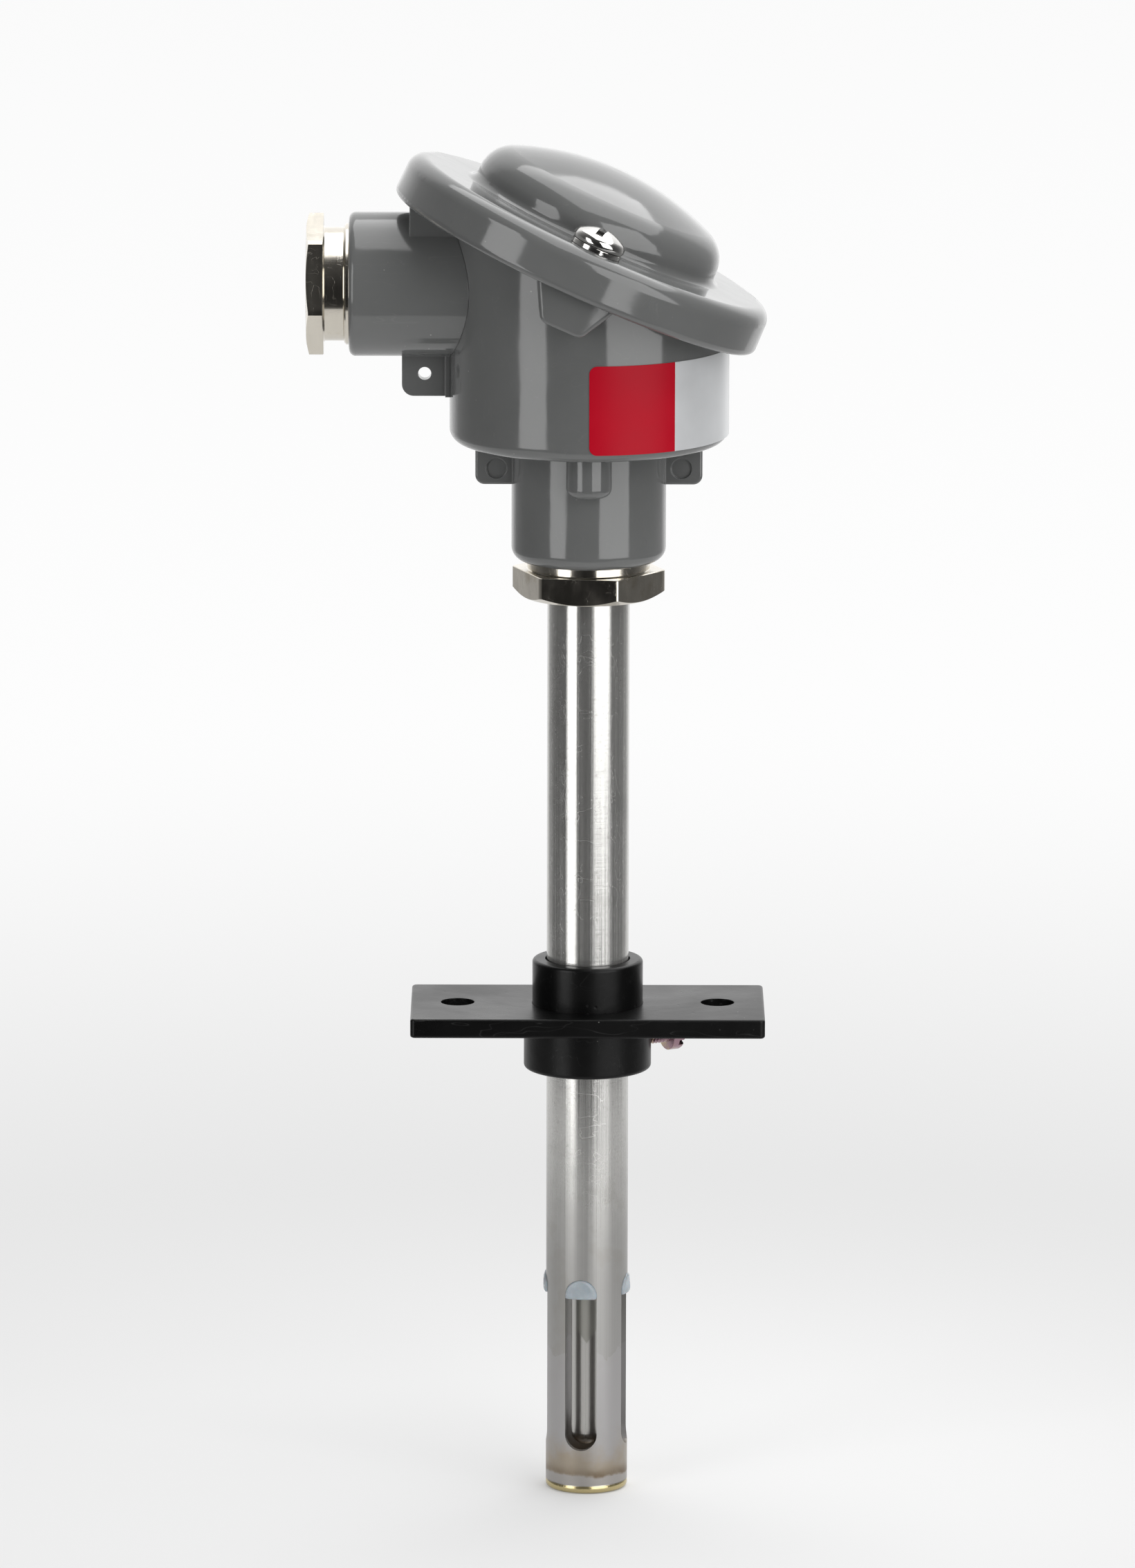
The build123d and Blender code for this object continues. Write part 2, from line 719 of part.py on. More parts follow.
wall_top, knuckle_middle, crown_start, crown_top = dome_points(0)
with BuildPart() as head_cover:
    with BuildSketch(cover_section):
        with BuildLine():
            Line((0, 0), (skirt_r, 0))
            Line((skirt_r, 0), (rim_top_r, skirt_height))
            Line((rim_top_r, skirt_height), (dome_r, skirt_height))
            Line((dome_r, skirt_height), wall_top)
            ThreePointArc(wall_top, knuckle_middle, crown_start)
            RadiusArc(crown_start, crown_top, -dome_crown_r)
            Line(crown_top, (0, 0))
        make_face()
    revolve(axis=cover_axis)
    cover_rings = head_cover.edges().filter_by(GeomType.CIRCLE)
    skirt_top_edge = cover_rings.filter_by(lambda e: abs(e.radius - rim_top_r) < radius_match)
    fillet(skirt_top_edge, skirt_edge_r)
    dome_foot_edge = head_cover.edges().filter_by(GeomType.CIRCLE)
    dome_foot_edge = dome_foot_edge.filter_by(lambda e: abs(e.radius - dome_r) < radius_match)
    fillet(dome_foot_edge, dome_foot_r)
    skirt_foot_edge = head_cover.edges().filter_by(GeomType.CIRCLE)
    skirt_foot_edge = skirt_foot_edge.filter_by(lambda e: abs(e.radius - skirt_r) < radius_match)
    fillet(skirt_foot_edge, skirt_foot_r)
    # Hollow: room for the rim, the gasket groove and the dome
    inner_wall_top, inner_middle, inner_crown_start, inner_top = dome_points(cover_wall)
    with BuildSketch(cover_plane):
        Circle(inner_r)
    extrude(amount=roof_h, mode=Mode.SUBTRACT)
    with BuildSketch(cover_plane.offset(roof_h)):
        Circle(mouth_d / 2 + gasket_width + gasket_inset)
        Circle(mouth_d / 2 + gasket_inset, mode=Mode.SUBTRACT)
    extrude(amount=gasket_groove_depth, mode=Mode.SUBTRACT)
    with BuildSketch(cover_section):
        with BuildLine():
            Line((0, 0), (dome_inner_r, 0))
            Line((dome_inner_r, 0), inner_wall_top)
            ThreePointArc(inner_wall_top, inner_middle, inner_crown_start)
            RadiusArc(inner_crown_start, inner_top, cover_wall - dome_crown_r)
            Line(inner_top, (0, 0))
        make_face()
    revolve(axis=cover_axis, mode=Mode.SUBTRACT)
    # Seats and holes of the two cover screws
    for screw_place in screw_places.values():
        with BuildSketch(cover_plane.offset(skirt_height)):
            with Locations(screw_place):
                Circle(cover_screw_head_d / 2 + spot_gap)
        extrude(amount=cover_washer_height + cover_screw_head_height, mode=Mode.SUBTRACT)
        with BuildSketch(cover_plane):
            with Locations(screw_place):
                Circle(cover_thread_d / 2 + cover_hole_gap)
        extrude(amount=skirt_height, mode=Mode.SUBTRACT)
head_cover.part.label = "head_cover"

with BuildPart() as cover_gasket:
    with BuildSketch(cover_plane.offset(rim_height)):
        Circle(mouth_d / 2 + gasket_width + gasket_inset)
        Circle(mouth_d / 2 + gasket_inset, mode=Mode.SUBTRACT)
    extrude(amount=gasket_height)
cover_gasket.part.label = "cover_gasket"

# Cover screws with low domed heads, and a washer under each
cover_screw_parts = {}
cover_washer_parts = {}
for place_name, screw_place in screw_places.items():
    screw_origin = cover_plane.from_local_coords(Vector(screw_place[0], screw_place[1], 0))
    screw_section = Plane(origin=screw_origin, x_dir=cover_plane.x_dir, z_dir=-cover_plane.y_dir)
    screw_axis = Axis(screw_origin, cover_plane.z_dir)
    with BuildPart() as cover_screw:
        with BuildSketch(screw_section):
            with BuildLine():
                Polyline(
                    (0, head_h - cover_screw_in),
                    (cover_thread_d / 2 - cover_screw_edge_r, head_h - cover_screw_in),
                    (cover_thread_d / 2, head_h - cover_screw_in + cover_screw_edge_r),
                    (cover_thread_d / 2, head_h),
                    (cover_screw_head_d / 2, head_h),
                    (cover_screw_head_d / 2, head_h + cover_screw_edge_height),
                )
                Spline(
                    (cover_screw_head_d / 2, head_h + cover_screw_edge_height),
                    (0, head_h + cover_screw_head_height),
                    tangents=(cover_screw_crown, (-1, 0)),
                )
                Line((0, head_h + cover_screw_head_height), (0, head_h - cover_screw_in))
            make_face()
        revolve(axis=screw_axis)
        head_rings = cover_screw.edges().filter_by(GeomType.CIRCLE)
        head_rings = head_rings.filter_by(lambda e: abs(e.radius - cover_screw_head_d / 2) < radius_match)
        fillet(head_rings.sort_by(screw_axis)[0], cover_screw_edge_r)
        with BuildSketch(cover_plane.offset(head_h + cover_screw_head_height * screw_slot_share)):
            with Locations(screw_place):
                Rectangle(
                    cover_screw_head_d * screw_slot_reach,
                    cover_screw_slot,
                    rotation=cover_screw_slot_turn,
                )
        extrude(amount=cover_screw_head_height, mode=Mode.SUBTRACT)
    cover_screw.part.label = "cover_screw_" + place_name
    cover_screw_parts[place_name] = cover_screw.part
    with BuildPart() as cover_washer:
        with BuildSketch(cover_plane.offset(washer_h)):
            with Locations(screw_place):
                Circle(cover_washer_d / 2)
                Circle(cover_thread_d / 2 + running_fit, mode=Mode.SUBTRACT)
        extrude(amount=cover_washer_height)
    cover_washer.part.label = "cover_washer_" + place_name
    cover_washer_parts[place_name] = cover_washer.part

# Cable gland: pressure screw, washer and rubber seal in the boss
gland_hex_x = -boss_reach - gland_neck_shown - gland_neck_length - gland_hex_height
gland_neck_x = gland_hex_x + gland_hex_height
gland_thread_x = gland_neck_x + gland_neck_length
gland_end_x = gland_thread_x + gland_thread_length
washer_end_x = gland_end_x + gland_washer_height
gland_axis = Axis((0, 0, boss_z), (1, 0, 0))
gland_hex_circle_r = gland_hex_af / 2 / cos(radians(30))
with BuildPart() as gland_screw:
    with BuildSketch(Plane.YZ.offset(gland_hex_x)):
        with Locations((0, boss_z)):
            RegularPolygon(gland_hex_af / 2, 6, major_radius=False, rotation=90 + gland_hex_turn)
    extrude(amount=gland_hex_height)
    with BuildSketch(Plane.XZ):
        with BuildLine():
            Polyline(
                (gland_hex_x, boss_z),
                (gland_hex_x, boss_z + gland_hex_circle_r - gland_hex_chamfer / tan(radians(30))),
                (gland_hex_x + gland_hex_chamfer, boss_z + gland_hex_circle_r),
                (gland_neck_x, boss_z + gland_hex_circle_r),
                (gland_neck_x, boss_z),
                close=True,
            )
        make_face()
    revolve(axis=gland_axis, mode=Mode.INTERSECT)
    with BuildSketch(Plane.XZ):
        with BuildLine():
            Polyline(
                (gland_neck_x, boss_z),
                (gland_neck_x, boss_z + gland_neck_d / 2),
                (gland_thread_x, boss_z + gland_neck_d / 2),
                (gland_thread_x + (gland_thread_d - gland_neck_d) / 2, boss_z + gland_thread_d / 2),
                (gland_end_x, boss_z + gland_thread_d / 2),
                (gland_end_x, boss_z),
                close=True,
            )
        make_face()
    revolve(axis=gland_axis)
    with BuildSketch(Plane.YZ.offset(gland_hex_x)):
        with Locations((0, boss_z)):
            Circle(gland_bore_d / 2)
    extrude(amount=gland_end_x - gland_hex_x, mode=Mode.SUBTRACT)
gland_screw.part.label = "gland_screw"

gland_fit_r = gland_thread_d / 2 - slide_gap
with BuildPart() as gland_washer:
    with BuildSketch(Plane.YZ.offset(gland_end_x)):
        with Locations((0, boss_z)):
            Circle(gland_fit_r)
            Circle(gland_washer_bore_d / 2, mode=Mode.SUBTRACT)
    extrude(amount=gland_washer_height)
gland_washer.part.label = "gland_washer"

with BuildPart() as gland_seal:
    with BuildSketch(Plane.YZ.offset(washer_end_x)):
        with Locations((0, boss_z)):
            Circle(gland_fit_r)
            Circle(gland_seal_bore_d / 2, mode=Mode.SUBTRACT)
    extrude(amount=-boss_reach + boss_bore_depth - washer_end_x)
gland_seal.part.label = "gland_seal"

# Terminal block: ceramic base with barriers, two clamps and their screws
with BuildPart() as terminal_base:
    with BuildSketch(Plane.XY.offset(base_z)):
        Circle(base_d / 2)
        with Locations((-base_flat, 0)):
            Rectangle(base_d, base_d, align=(Align.MAX, Align.CENTER), mode=Mode.SUBTRACT)
    extrude(amount=base_height)
    fillet(terminal_base.faces().sort_by(Axis.Z)[-1].edges(), base_edge_r)
    with BuildSketch(Plane.XY.offset(base_top_z)):
        with GridLocations(0, base_hole_d + barrier_length, 1, 2):
            Rectangle(barrier_width, barrier_length)
    extrude(amount=barrier_height)
    with BuildSketch(Plane.XY.offset(base_z)):
        Circle(base_hole_d / 2)
        with Locations(*base_hole_places):
            Circle(base_screw_d / 2 + slide_gap)
    extrude(amount=base_height, mode=Mode.SUBTRACT)
    with BuildSketch(Plane.XY.offset(base_top_z)):
        with Locations(*base_hole_places):
            Circle(base_screw_head_d / 2 + slide_gap)
    extrude(amount=-base_recess, mode=Mode.SUBTRACT)
terminal_base.part.label = "terminal_base"

terminal_top_z = base_top_z + terminal_height
screw_grid = [
    (x_side * terminal_reach, y_side * terminal_pitch / 2)
    for x_side in (1, -1)
    for y_side in (1, -1)
]
terminal_parts = {}
for terminal_name, x_side in {"left": -1, "right": 1}.items():
    with BuildPart() as terminal_clamp:
        with BuildSketch(Plane.XY.offset(base_top_z)):
            with Locations((x_side * terminal_reach, 0)):
                Rectangle(terminal_width, terminal_length)
        extrude(amount=terminal_height)
        chamfer(terminal_clamp.faces().sort_by(Axis.Z)[-1].edges(), terminal_chamfer)
        with BuildSketch(Plane.YZ.offset(x_side * terminal_reach - terminal_width / 2)):
            with Locations((terminal_pitch / 2, wire_z), (-terminal_pitch / 2, wire_z)):
                Circle(terminal_wire_d / 2)
        extrude(amount=terminal_width, mode=Mode.SUBTRACT)
        with BuildSketch(Plane.XY.offset(terminal_top_z)):
            with Locations(
                (x_side * terminal_reach, terminal_pitch / 2),
                (x_side * terminal_reach, -terminal_pitch / 2),
            ):
                Circle(terminal_screw_d / 2 + running_fit)
        extrude(amount=-(terminal_top_z - wire_z), mode=Mode.SUBTRACT)
    terminal_clamp.part.label = "terminal_clamp_" + terminal_name
    terminal_parts[terminal_name] = terminal_clamp.part


def slotted_screws(places, seat_z, shank_d, shank_length, head_d, head_height):
    """Upright slotted cheese-head screws at the given places."""
    with BuildPart() as screws:
        with BuildSketch(Plane.XY.offset(seat_z)):
            with Locations(*places):
                Circle(shank_d / 2)
        extrude(amount=-shank_length)
        with BuildSketch(Plane.XY.offset(seat_z)):
            with Locations(*places):
                Circle(head_d / 2)
        extrude(amount=head_height)
        with BuildSketch(Plane.XY.offset(seat_z + head_height)):
            with Locations(*places):
                Rectangle(head_d * screw_slot_reach, head_d / 6, rotation=screw_slot_turn)
        extrude(amount=-head_height * screw_slot_share, mode=Mode.SUBTRACT)
    return screws.part


terminal_screws = slotted_screws(
    screw_grid,
    terminal_top_z,
    terminal_screw_d,
    terminal_top_z - wire_z - lead_d / 2,
    terminal_screw_head_d,
    terminal_screw_head_height,
)
terminal_screws.label = "terminal_screws"

base_screw_seat_z = base_top_z - base_recess
base_screws = slotted_screws(
    base_hole_places,
    base_screw_seat_z,
    base_screw_d,
    base_screw_seat_z - base_z + base_lift + body_wall,
    base_screw_head_d,
    base_screw_head_height,
)
base_screws.label = "base_screws"

earth_washer_z = floor_z + earth_pillar_height
with BuildPart() as earth_washer:
    with BuildSketch(Plane.XY.offset(earth_washer_z)):
        with Locations((-earth_reach, 0)):
            Circle(earth_washer_d / 2)
            Circle(earth_screw_d / 2 + running_fit, mode=Mode.SUBTRACT)
    extrude(amount=earth_washer_height)
earth_washer.part.label = "earth_washer"

earth_screw = slotted_screws(
    [(-earth_reach, 0)],
    earth_washer_z + earth_washer_height,
    earth_screw_d,
    earth_washer_height + earth_screw_in,
    earth_head_d,
    earth_head_height,
)
earth_screw.label = "earth_screw"

# Label, a thin sheet bent round the body
label_z = body_z + label_rise
with BuildPart() as body_label:
    with BuildSketch(Plane.XZ):
        with Locations((body_d / 2, label_z)):
            Rectangle(label_thickness, label_height, align=(Align.MIN, Align.MIN))
    revolve(axis=Axis.Z, revolution_arc=label_angle)
body_label_part = body_label.part.rotate(Axis.Z, -90)
body_label_part.label = "body_label"

finished_parts = [
    flange_plate.part,
    flange_hub.part,
    clamp_screw.part,
    protection_tube.part,
    tube_end_cap.part,
    tube_sealant.part,
    measuring_rod.part,
    sensing_chip.part,
    lead_wires.part,
    neck_nut.part,
    neck_clamp_ring.part,
    head_housing.part,
    housing_neck.part,
    cable_boss.part,
    head_cover.part,
    cover_gasket.part,
    gland_screw.part,
    gland_washer.part,
    gland_seal.part,
    terminal_base.part,
    terminal_screws,
    base_screws,
    earth_washer.part,
    earth_screw,
    body_label_part,
]
finished_parts += list(cover_screw_parts.values())
finished_parts += list(cover_washer_parts.values())
finished_parts += list(terminal_parts.values())

for finished_part in finished_parts:
    export_step(finished_part, "parts/" + finished_part.label + ".step")
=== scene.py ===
import math
import bmesh
import bpy
from mathutils import Matrix, Vector, noise


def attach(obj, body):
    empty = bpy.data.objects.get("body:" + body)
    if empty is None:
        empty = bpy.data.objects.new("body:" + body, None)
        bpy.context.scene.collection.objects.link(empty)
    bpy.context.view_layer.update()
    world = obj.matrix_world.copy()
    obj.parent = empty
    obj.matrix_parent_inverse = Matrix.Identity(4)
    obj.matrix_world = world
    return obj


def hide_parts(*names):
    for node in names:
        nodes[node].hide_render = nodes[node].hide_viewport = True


# A duct temperature sensor. Lengths in the pieces' and materials' dictionaries are millimetres and angles
# are degrees. Meshes, texture scales, the stage and the lamps are in metres.
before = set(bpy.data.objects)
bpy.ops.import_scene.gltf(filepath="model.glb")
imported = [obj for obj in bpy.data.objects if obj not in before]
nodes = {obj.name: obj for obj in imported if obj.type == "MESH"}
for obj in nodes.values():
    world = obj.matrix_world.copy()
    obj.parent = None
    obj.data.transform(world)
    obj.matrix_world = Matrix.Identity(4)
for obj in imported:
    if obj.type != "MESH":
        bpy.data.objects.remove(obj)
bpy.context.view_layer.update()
mm = 0.001
# nearly all of a noise texture lies between these two values
noiseLow, noiseHigh = 0.3, 0.7
# shape of a thread's turn: how steep its flanks are and how much of it is flat crest
flankSteepness, crestShare = 1.15, 0.07
print("frame loaded:", len(nodes), "nodes")


# small helpers for meshes
def meshObject(name, vertices, faces, smoothAngle=30.0):
    mesh = bpy.data.meshes.new(name)
    mesh.from_pydata(vertices, [], faces)
    mesh.validate()
    piece = bpy.data.objects.new(name, mesh)
    bpy.context.scene.collection.objects.link(piece)
    tidyNormals(piece, smoothAngle)
    return piece


def tidyNormals(piece, smoothAngle=30.0):
    solid = bmesh.new()
    solid.from_mesh(piece.data)
    bmesh.ops.recalc_face_normals(solid, faces=solid.faces)
    solid.to_mesh(piece.data)
    solid.free()
    piece.data.polygons.foreach_set("use_smooth", [True] * len(piece.data.polygons))
    piece.data.set_sharp_from_angle(angle=math.radians(smoothAngle))


def applyModifiers(piece):
    graph = bpy.context.evaluated_depsgraph_get()
    finished = bpy.data.meshes.new_from_object(piece.evaluated_get(graph))
    piece.modifiers.clear()
    piece.data = finished


def cutAway(piece, cutter):
    cut = piece.modifiers.new("cut", "BOOLEAN")
    cut.operation = "DIFFERENCE"
    cut.solver = "EXACT"
    cut.object = cutter
    applyModifiers(piece)
    bpy.data.objects.remove(cutter)
    tidyNormals(piece)


def boxAt(centre, size, turn):
    corners = [(x, y, z) for x in (-0.5, 0.5) for y in (-0.5, 0.5) for z in (-0.5, 0.5)]
    vertices = [Vector(centre) + turn @ Vector([c * s for c, s in zip(corner, size)]) for corner in corners]
    faces = [(0, 1, 3, 2), (4, 6, 7, 5), (0, 4, 5, 1), (2, 3, 7, 6), (0, 2, 6, 4), (1, 5, 7, 3)]
    return meshObject("cutter", vertices, faces)


def turned(name, rows, columns, bored, place, smoothAngle=30.0):
    # rows are (radius, height) in mm, and either may be a function of the angle
    vertices = []
    for radius, height in rows:
        for column in range(columns):
            angle = 2 * math.pi * column / columns
            r = radius(angle) if callable(radius) else radius
            h = height(angle) if callable(height) else height
            vertices.append(place @ Vector((r * math.cos(angle) * mm, r * math.sin(angle) * mm, h * mm)))
    faces = []
    last = len(rows) if bored else len(rows) - 1
    for row in range(last):
        a, b = row * columns, (row + 1) % len(rows) * columns
        for column in range(columns):
            n = (column + 1) % columns
            faces.append((a + column, a + n, b + n, b + column))
    if not bored:
        faces.append(tuple(range(columns))[::-1])
        faces.append(tuple(range((len(rows) - 1) * columns, len(rows) * columns)))
    return meshObject(name, vertices, faces, smoothAngle)


def threadRows(look, start, end):
    # rows of a right-hand thread from start to end, running out over look["fade"] at both ends
    rows = []
    count = max(2, round(abs(end - start) / look["pitch"] * look["steps"]))
    for index in range(count + 1):
        h = start + (end - start) * index / count
        share = min(1.0, min(abs(h - start), abs(end - h)) / look["fade"])

        def flank(angle, h=h, share=share):
            turn = (h / look["pitch"] - angle / (2 * math.pi)) % 1.0
            depth = min(1.0, max(0.0, flankSteepness * abs(2 * turn - 1) - crestShare))
            return look["thread"] - look["threadDepth"] * share * depth

        rows.append((flank, h))
    return rows


def hexRadius(acrossFlats, turn, softness=200):
    # a hexagon's radius at an angle, with its corners rounded a little
    def radius(angle):
        total = 0.0
        for side in range(6):
            total += max(0.0, math.cos(angle - turn - side * math.pi / 3)) ** softness
        return acrossFlats / 2 / total ** (1 / softness)
    return radius


def hexagon(look):
    # its outline, the height of its chamfered rim, and the radius at which the chamfer starts
    outline = hexRadius(look["flats"], math.radians(look["turn"]))
    slope = math.tan(math.radians(look["chamferAngle"]))
    start = look["flats"] / 2 / math.cos(math.radians(30)) - look["chamfer"] / slope

    def rim(angle):
        return look["outer"] + max(0.0, (outline(angle) - start) * slope)

    return outline, rim, start


# a slot in a screw's head, whose top is at this height
def cutSlot(piece, place, look, top):
    # the cutter stands over the top by this much
    over = 1.0
    centre = place @ Vector((0, 0, (top - (look["slotDepth"] - over) / 2) * mm))
    size = [length * mm for length in (*look["slotSize"], look["slotDepth"] + over)]
    cutter = boxAt(centre, size, place.to_3x3() @ Matrix.Rotation(math.radians(look["slotTurn"]), 3, "Z"))
    cutAway(piece, cutter)


def setMaterial(piece, material):
    piece.data.materials.clear()
    piece.data.materials.append(material)
    piece.data.update()


# small helpers for materials
def addNode(tree, kind, options=None, sockets=None):
    node = tree.nodes.new(kind)
    for key, value in (options or {}).items():
        setattr(node, key, value)
    for key, value in (sockets or {}).items():
        socket = node.inputs[key]
        if isinstance(value, bpy.types.NodeSocket):
            tree.links.new(value, socket)
        else:
            socket.default_value = value
    return node


def maths(tree, operation, a, b=0.0, c=0.0):
    return addNode(tree, "ShaderNodeMath", {"operation": operation}, {0: a, 1: b, 2: c}).outputs[0]


def between(tree, value, low, high, newLow=0.0, newHigh=1.0):
    return addNode(tree, "ShaderNodeMapRange", {"interpolation_type": "SMOOTHSTEP"}, {
        "Value": value, "From Min": low, "From Max": high, "To Min": newLow, "To Max": newHigh}).outputs[0]


def blendColours(tree, share, first, second, kind="MIX"):
    options = {"data_type": "RGBA", "blend_type": kind}
    return addNode(tree, "ShaderNodeMix", options, {0: share, 6: first, 7: second}).outputs[2]


def vectorOf(tree, x, y, z):
    return addNode(tree, "ShaderNodeCombineXYZ", None, {0: x, 1: y, 2: z}).outputs[0]


def inverse(tree, share):
    return maths(tree, "SUBTRACT", 1.0, share)


def noiseAt(tree, place, scale, detail=3.0, roughness=0.5, distortion=0.0):
    return addNode(tree, "ShaderNodeTexNoise", None, {
        "Vector": place, "Scale": scale, "Detail": detail, "Roughness": roughness,
        "Distortion": distortion}).outputs[0]


def newGroup(name, inputs, outputs):
    group = bpy.data.node_groups.new(name, "ShaderNodeTree")
    for socketName, kind, value in inputs:
        socket = group.interface.new_socket(socketName, in_out="INPUT", socket_type=kind)
        if value is not None:
            socket.default_value = value
    for socketName, kind in outputs:
        group.interface.new_socket(socketName, in_out="OUTPUT", socket_type=kind)
    return group, group.nodes.new("NodeGroupInput"), group.nodes.new("NodeGroupOutput")


def castSkinGroup():
    # the slow waves, fine orange peel, small pits and specks of dust of lacquer on a casting
    look = {"pitScale": 330.0, "pit": (0.05, 0.16), "pitPatchScale": 60.0, "pitPatch": (0.56, 0.62),
            "dustScale": 520.0, "dust": (0.03, 0.1), "dustPatchScale": 45.0, "dustPatch": (0.6, 0.7),
            "shadeScale": 38.0}
    group, given, result = newGroup("castSkin", [
        ("Place", "NodeSocketVector", None),
        ("Wave Scale", "NodeSocketFloat", 90.0),
        ("Peel Scale", "NodeSocketFloat", 700.0),
        ("Peel Share", "NodeSocketFloat", 0.12),
        ("Pit Share", "NodeSocketFloat", 0.3),
    ], [("Height", "NodeSocketFloat"), ("Shade", "NodeSocketFloat"), ("Dust", "NodeSocketFloat")])
    place = given.outputs["Place"]
    wave = noiseAt(group, place, given.outputs["Wave Scale"], 2.0, 0.4)
    peel = noiseAt(group, place, given.outputs["Peel Scale"], 1.0)
    cells = addNode(group, "ShaderNodeTexVoronoi", None, {"Vector": place, "Scale": look["pitScale"]})
    pit = between(group, cells.outputs["Distance"], *look["pit"], 1.0, 0.0)
    rare = between(group, noiseAt(group, place, look["pitPatchScale"], 1.0), *look["pitPatch"])
    pits = maths(group, "MULTIPLY", maths(group, "MULTIPLY", pit, rare), given.outputs["Pit Share"])
    height = maths(group, "MULTIPLY_ADD", peel, given.outputs["Peel Share"], wave)
    dustCells = addNode(group, "ShaderNodeTexVoronoi", None, {"Vector": place, "Scale": look["dustScale"]})
    speck = between(group, dustCells.outputs["Distance"], *look["dust"], 1.0, 0.0)
    patch = between(group, noiseAt(group, place, look["dustPatchScale"], 2.0), *look["dustPatch"])
    group.links.new(maths(group, "SUBTRACT", height, pits), result.inputs["Height"])
    group.links.new(noiseAt(group, place, look["shadeScale"], 4.0, 0.6), result.inputs["Shade"])
    group.links.new(maths(group, "MULTIPLY", speck, patch), result.inputs["Dust"])
    return group


def turnedGrainGroup():
    # grain of drawn or turned metal whose axis is Z: streaks along it, fine rings round it, slow blotches
    look = {"ringAcross": 60.0, "blotchScale": 130.0}
    group, given, result = newGroup("turnedGrain", [
        ("Place", "NodeSocketVector", None),
        ("Streaks Round", "NodeSocketFloat", 9.0),
        ("Streak Length", "NodeSocketFloat", 14.0),
        ("Ring Scale", "NodeSocketFloat", 2600.0),
    ], [("Streak", "NodeSocketFloat"), ("Ring", "NodeSocketFloat"), ("Blotch", "NodeSocketFloat")])
    place = given.outputs["Place"]
    x, y, z = addNode(group, "ShaderNodeSeparateXYZ", None, {0: place}).outputs
    outward = addNode(group, "ShaderNodeVectorMath", {"operation": "NORMALIZE"}, {
        0: vectorOf(group, x, y, 0.0)}).outputs[0]
    around = addNode(group, "ShaderNodeVectorMath", {"operation": "SCALE"}, {
        0: outward, "Scale": given.outputs["Streaks Round"]}).outputs[0]
    along = vectorOf(group, 0.0, 0.0, maths(group, "MULTIPLY", z, given.outputs["Streak Length"]))
    streakPlace = addNode(group, "ShaderNodeVectorMath", {"operation": "ADD"}, {
        0: around, 1: along}).outputs[0]
    ringPlace = vectorOf(
        group, maths(group, "MULTIPLY", x, look["ringAcross"]),
        maths(group, "MULTIPLY", y, look["ringAcross"]),
        maths(group, "MULTIPLY", z, given.outputs["Ring Scale"]))
    group.links.new(noiseAt(group, streakPlace, 1.0, 6.0, 0.62), result.inputs["Streak"])
    group.links.new(noiseAt(group, ringPlace, 1.0, 2.0, 0.5), result.inputs["Ring"])
    group.links.new(noiseAt(group, place, look["blotchScale"], 4.0, 0.6), result.inputs["Blotch"])
    return group


def scratchGroup():
    # short fine scratches in three mixed directions
    look = {"turns": ((0.3, 0.9, 0.2), (1.2, 0.1, 2.0), (2.4, 1.9, 0.8)), "stretch": (1.0, 22.0, 5.0),
            "lineWidth": 0.006, "gateScale": 25.0, "gate": (0.52, 0.6)}
    group, given, result = newGroup("fineScratches", [
        ("Place", "NodeSocketVector", None),
        ("Scale", "NodeSocketFloat", 60.0),
        ("Amount", "NodeSocketFloat", 0.5),
    ], [("Mask", "NodeSocketFloat")])
    total = None
    for turn in look["turns"]:
        rotated = addNode(group, "ShaderNodeMapping", None, {
            "Vector": given.outputs["Place"], "Rotation": turn, "Scale": look["stretch"]}).outputs[0]
        field = noiseAt(group, rotated, given.outputs["Scale"], 2.0, 0.5, 0.3)
        offMiddle = maths(group, "ABSOLUTE", maths(group, "SUBTRACT", field, 0.5))
        line = between(group, offMiddle, 0.0, look["lineWidth"], 1.0, 0.0)
        gate = between(group, noiseAt(group, rotated, look["gateScale"], 1.0), *look["gate"])
        mark = maths(group, "MULTIPLY", line, gate)
        total = mark if total is None else maths(group, "MAXIMUM", total, mark)
    group.links.new(maths(group, "MULTIPLY", total, given.outputs["Amount"]), result.inputs["Mask"])
    return group


castSkin = castSkinGroup()
turnedGrain = turnedGrainGroup()
fineScratches = scratchGroup()


def newMaterial(name, fixed):
    material = bpy.data.materials.new(name)
    material.use_nodes = True
    tree = material.node_tree
    tree.nodes.clear()
    shader = addNode(tree, "ShaderNodeBsdfPrincipled", None, fixed)
    output = tree.nodes.new("ShaderNodeOutputMaterial")
    tree.links.new(shader.outputs[0], output.inputs[0])
    place = tree.nodes.new("ShaderNodeTexCoord").outputs["Object"]
    return material, tree, shader, place


def useGroup(tree, group, values):
    node = tree.nodes.new("ShaderNodeGroup")
    node.node_tree = group
    for key, value in values.items():
        if isinstance(value, bpy.types.NodeSocket):
            tree.links.new(value, node.inputs[key])
        else:
            node.inputs[key].default_value = value
    return node


def bumpFrom(tree, shader, height, distance, soften=0.0):
    bump = addNode(tree, "ShaderNodeBump", None, {"Height": height, "Distance": distance})
    if soften:
        # lacquer and wear round off the sharp edges
        edge = addNode(tree, "ShaderNodeBevel", {"samples": 6}, {"Radius": soften * mm})
        tree.links.new(edge.outputs[0], bump.inputs["Normal"])
    tree.links.new(bump.outputs[0], shader.inputs["Normal"])


def shaded(tree, colour, share, dark, light):
    # a colour times a factor from dark to light, by share
    factor = addNode(tree, "ShaderNodeMapRange", None, {
        "Value": share, "From Min": noiseLow, "From Max": noiseHigh,
        "To Min": dark, "To Max": light}).outputs[0]
    grey = addNode(tree, "ShaderNodeCombineColor", None, {0: factor, 1: factor, 2: factor}).outputs[0]
    return blendColours(tree, 1.0, colour, grey, "MULTIPLY")


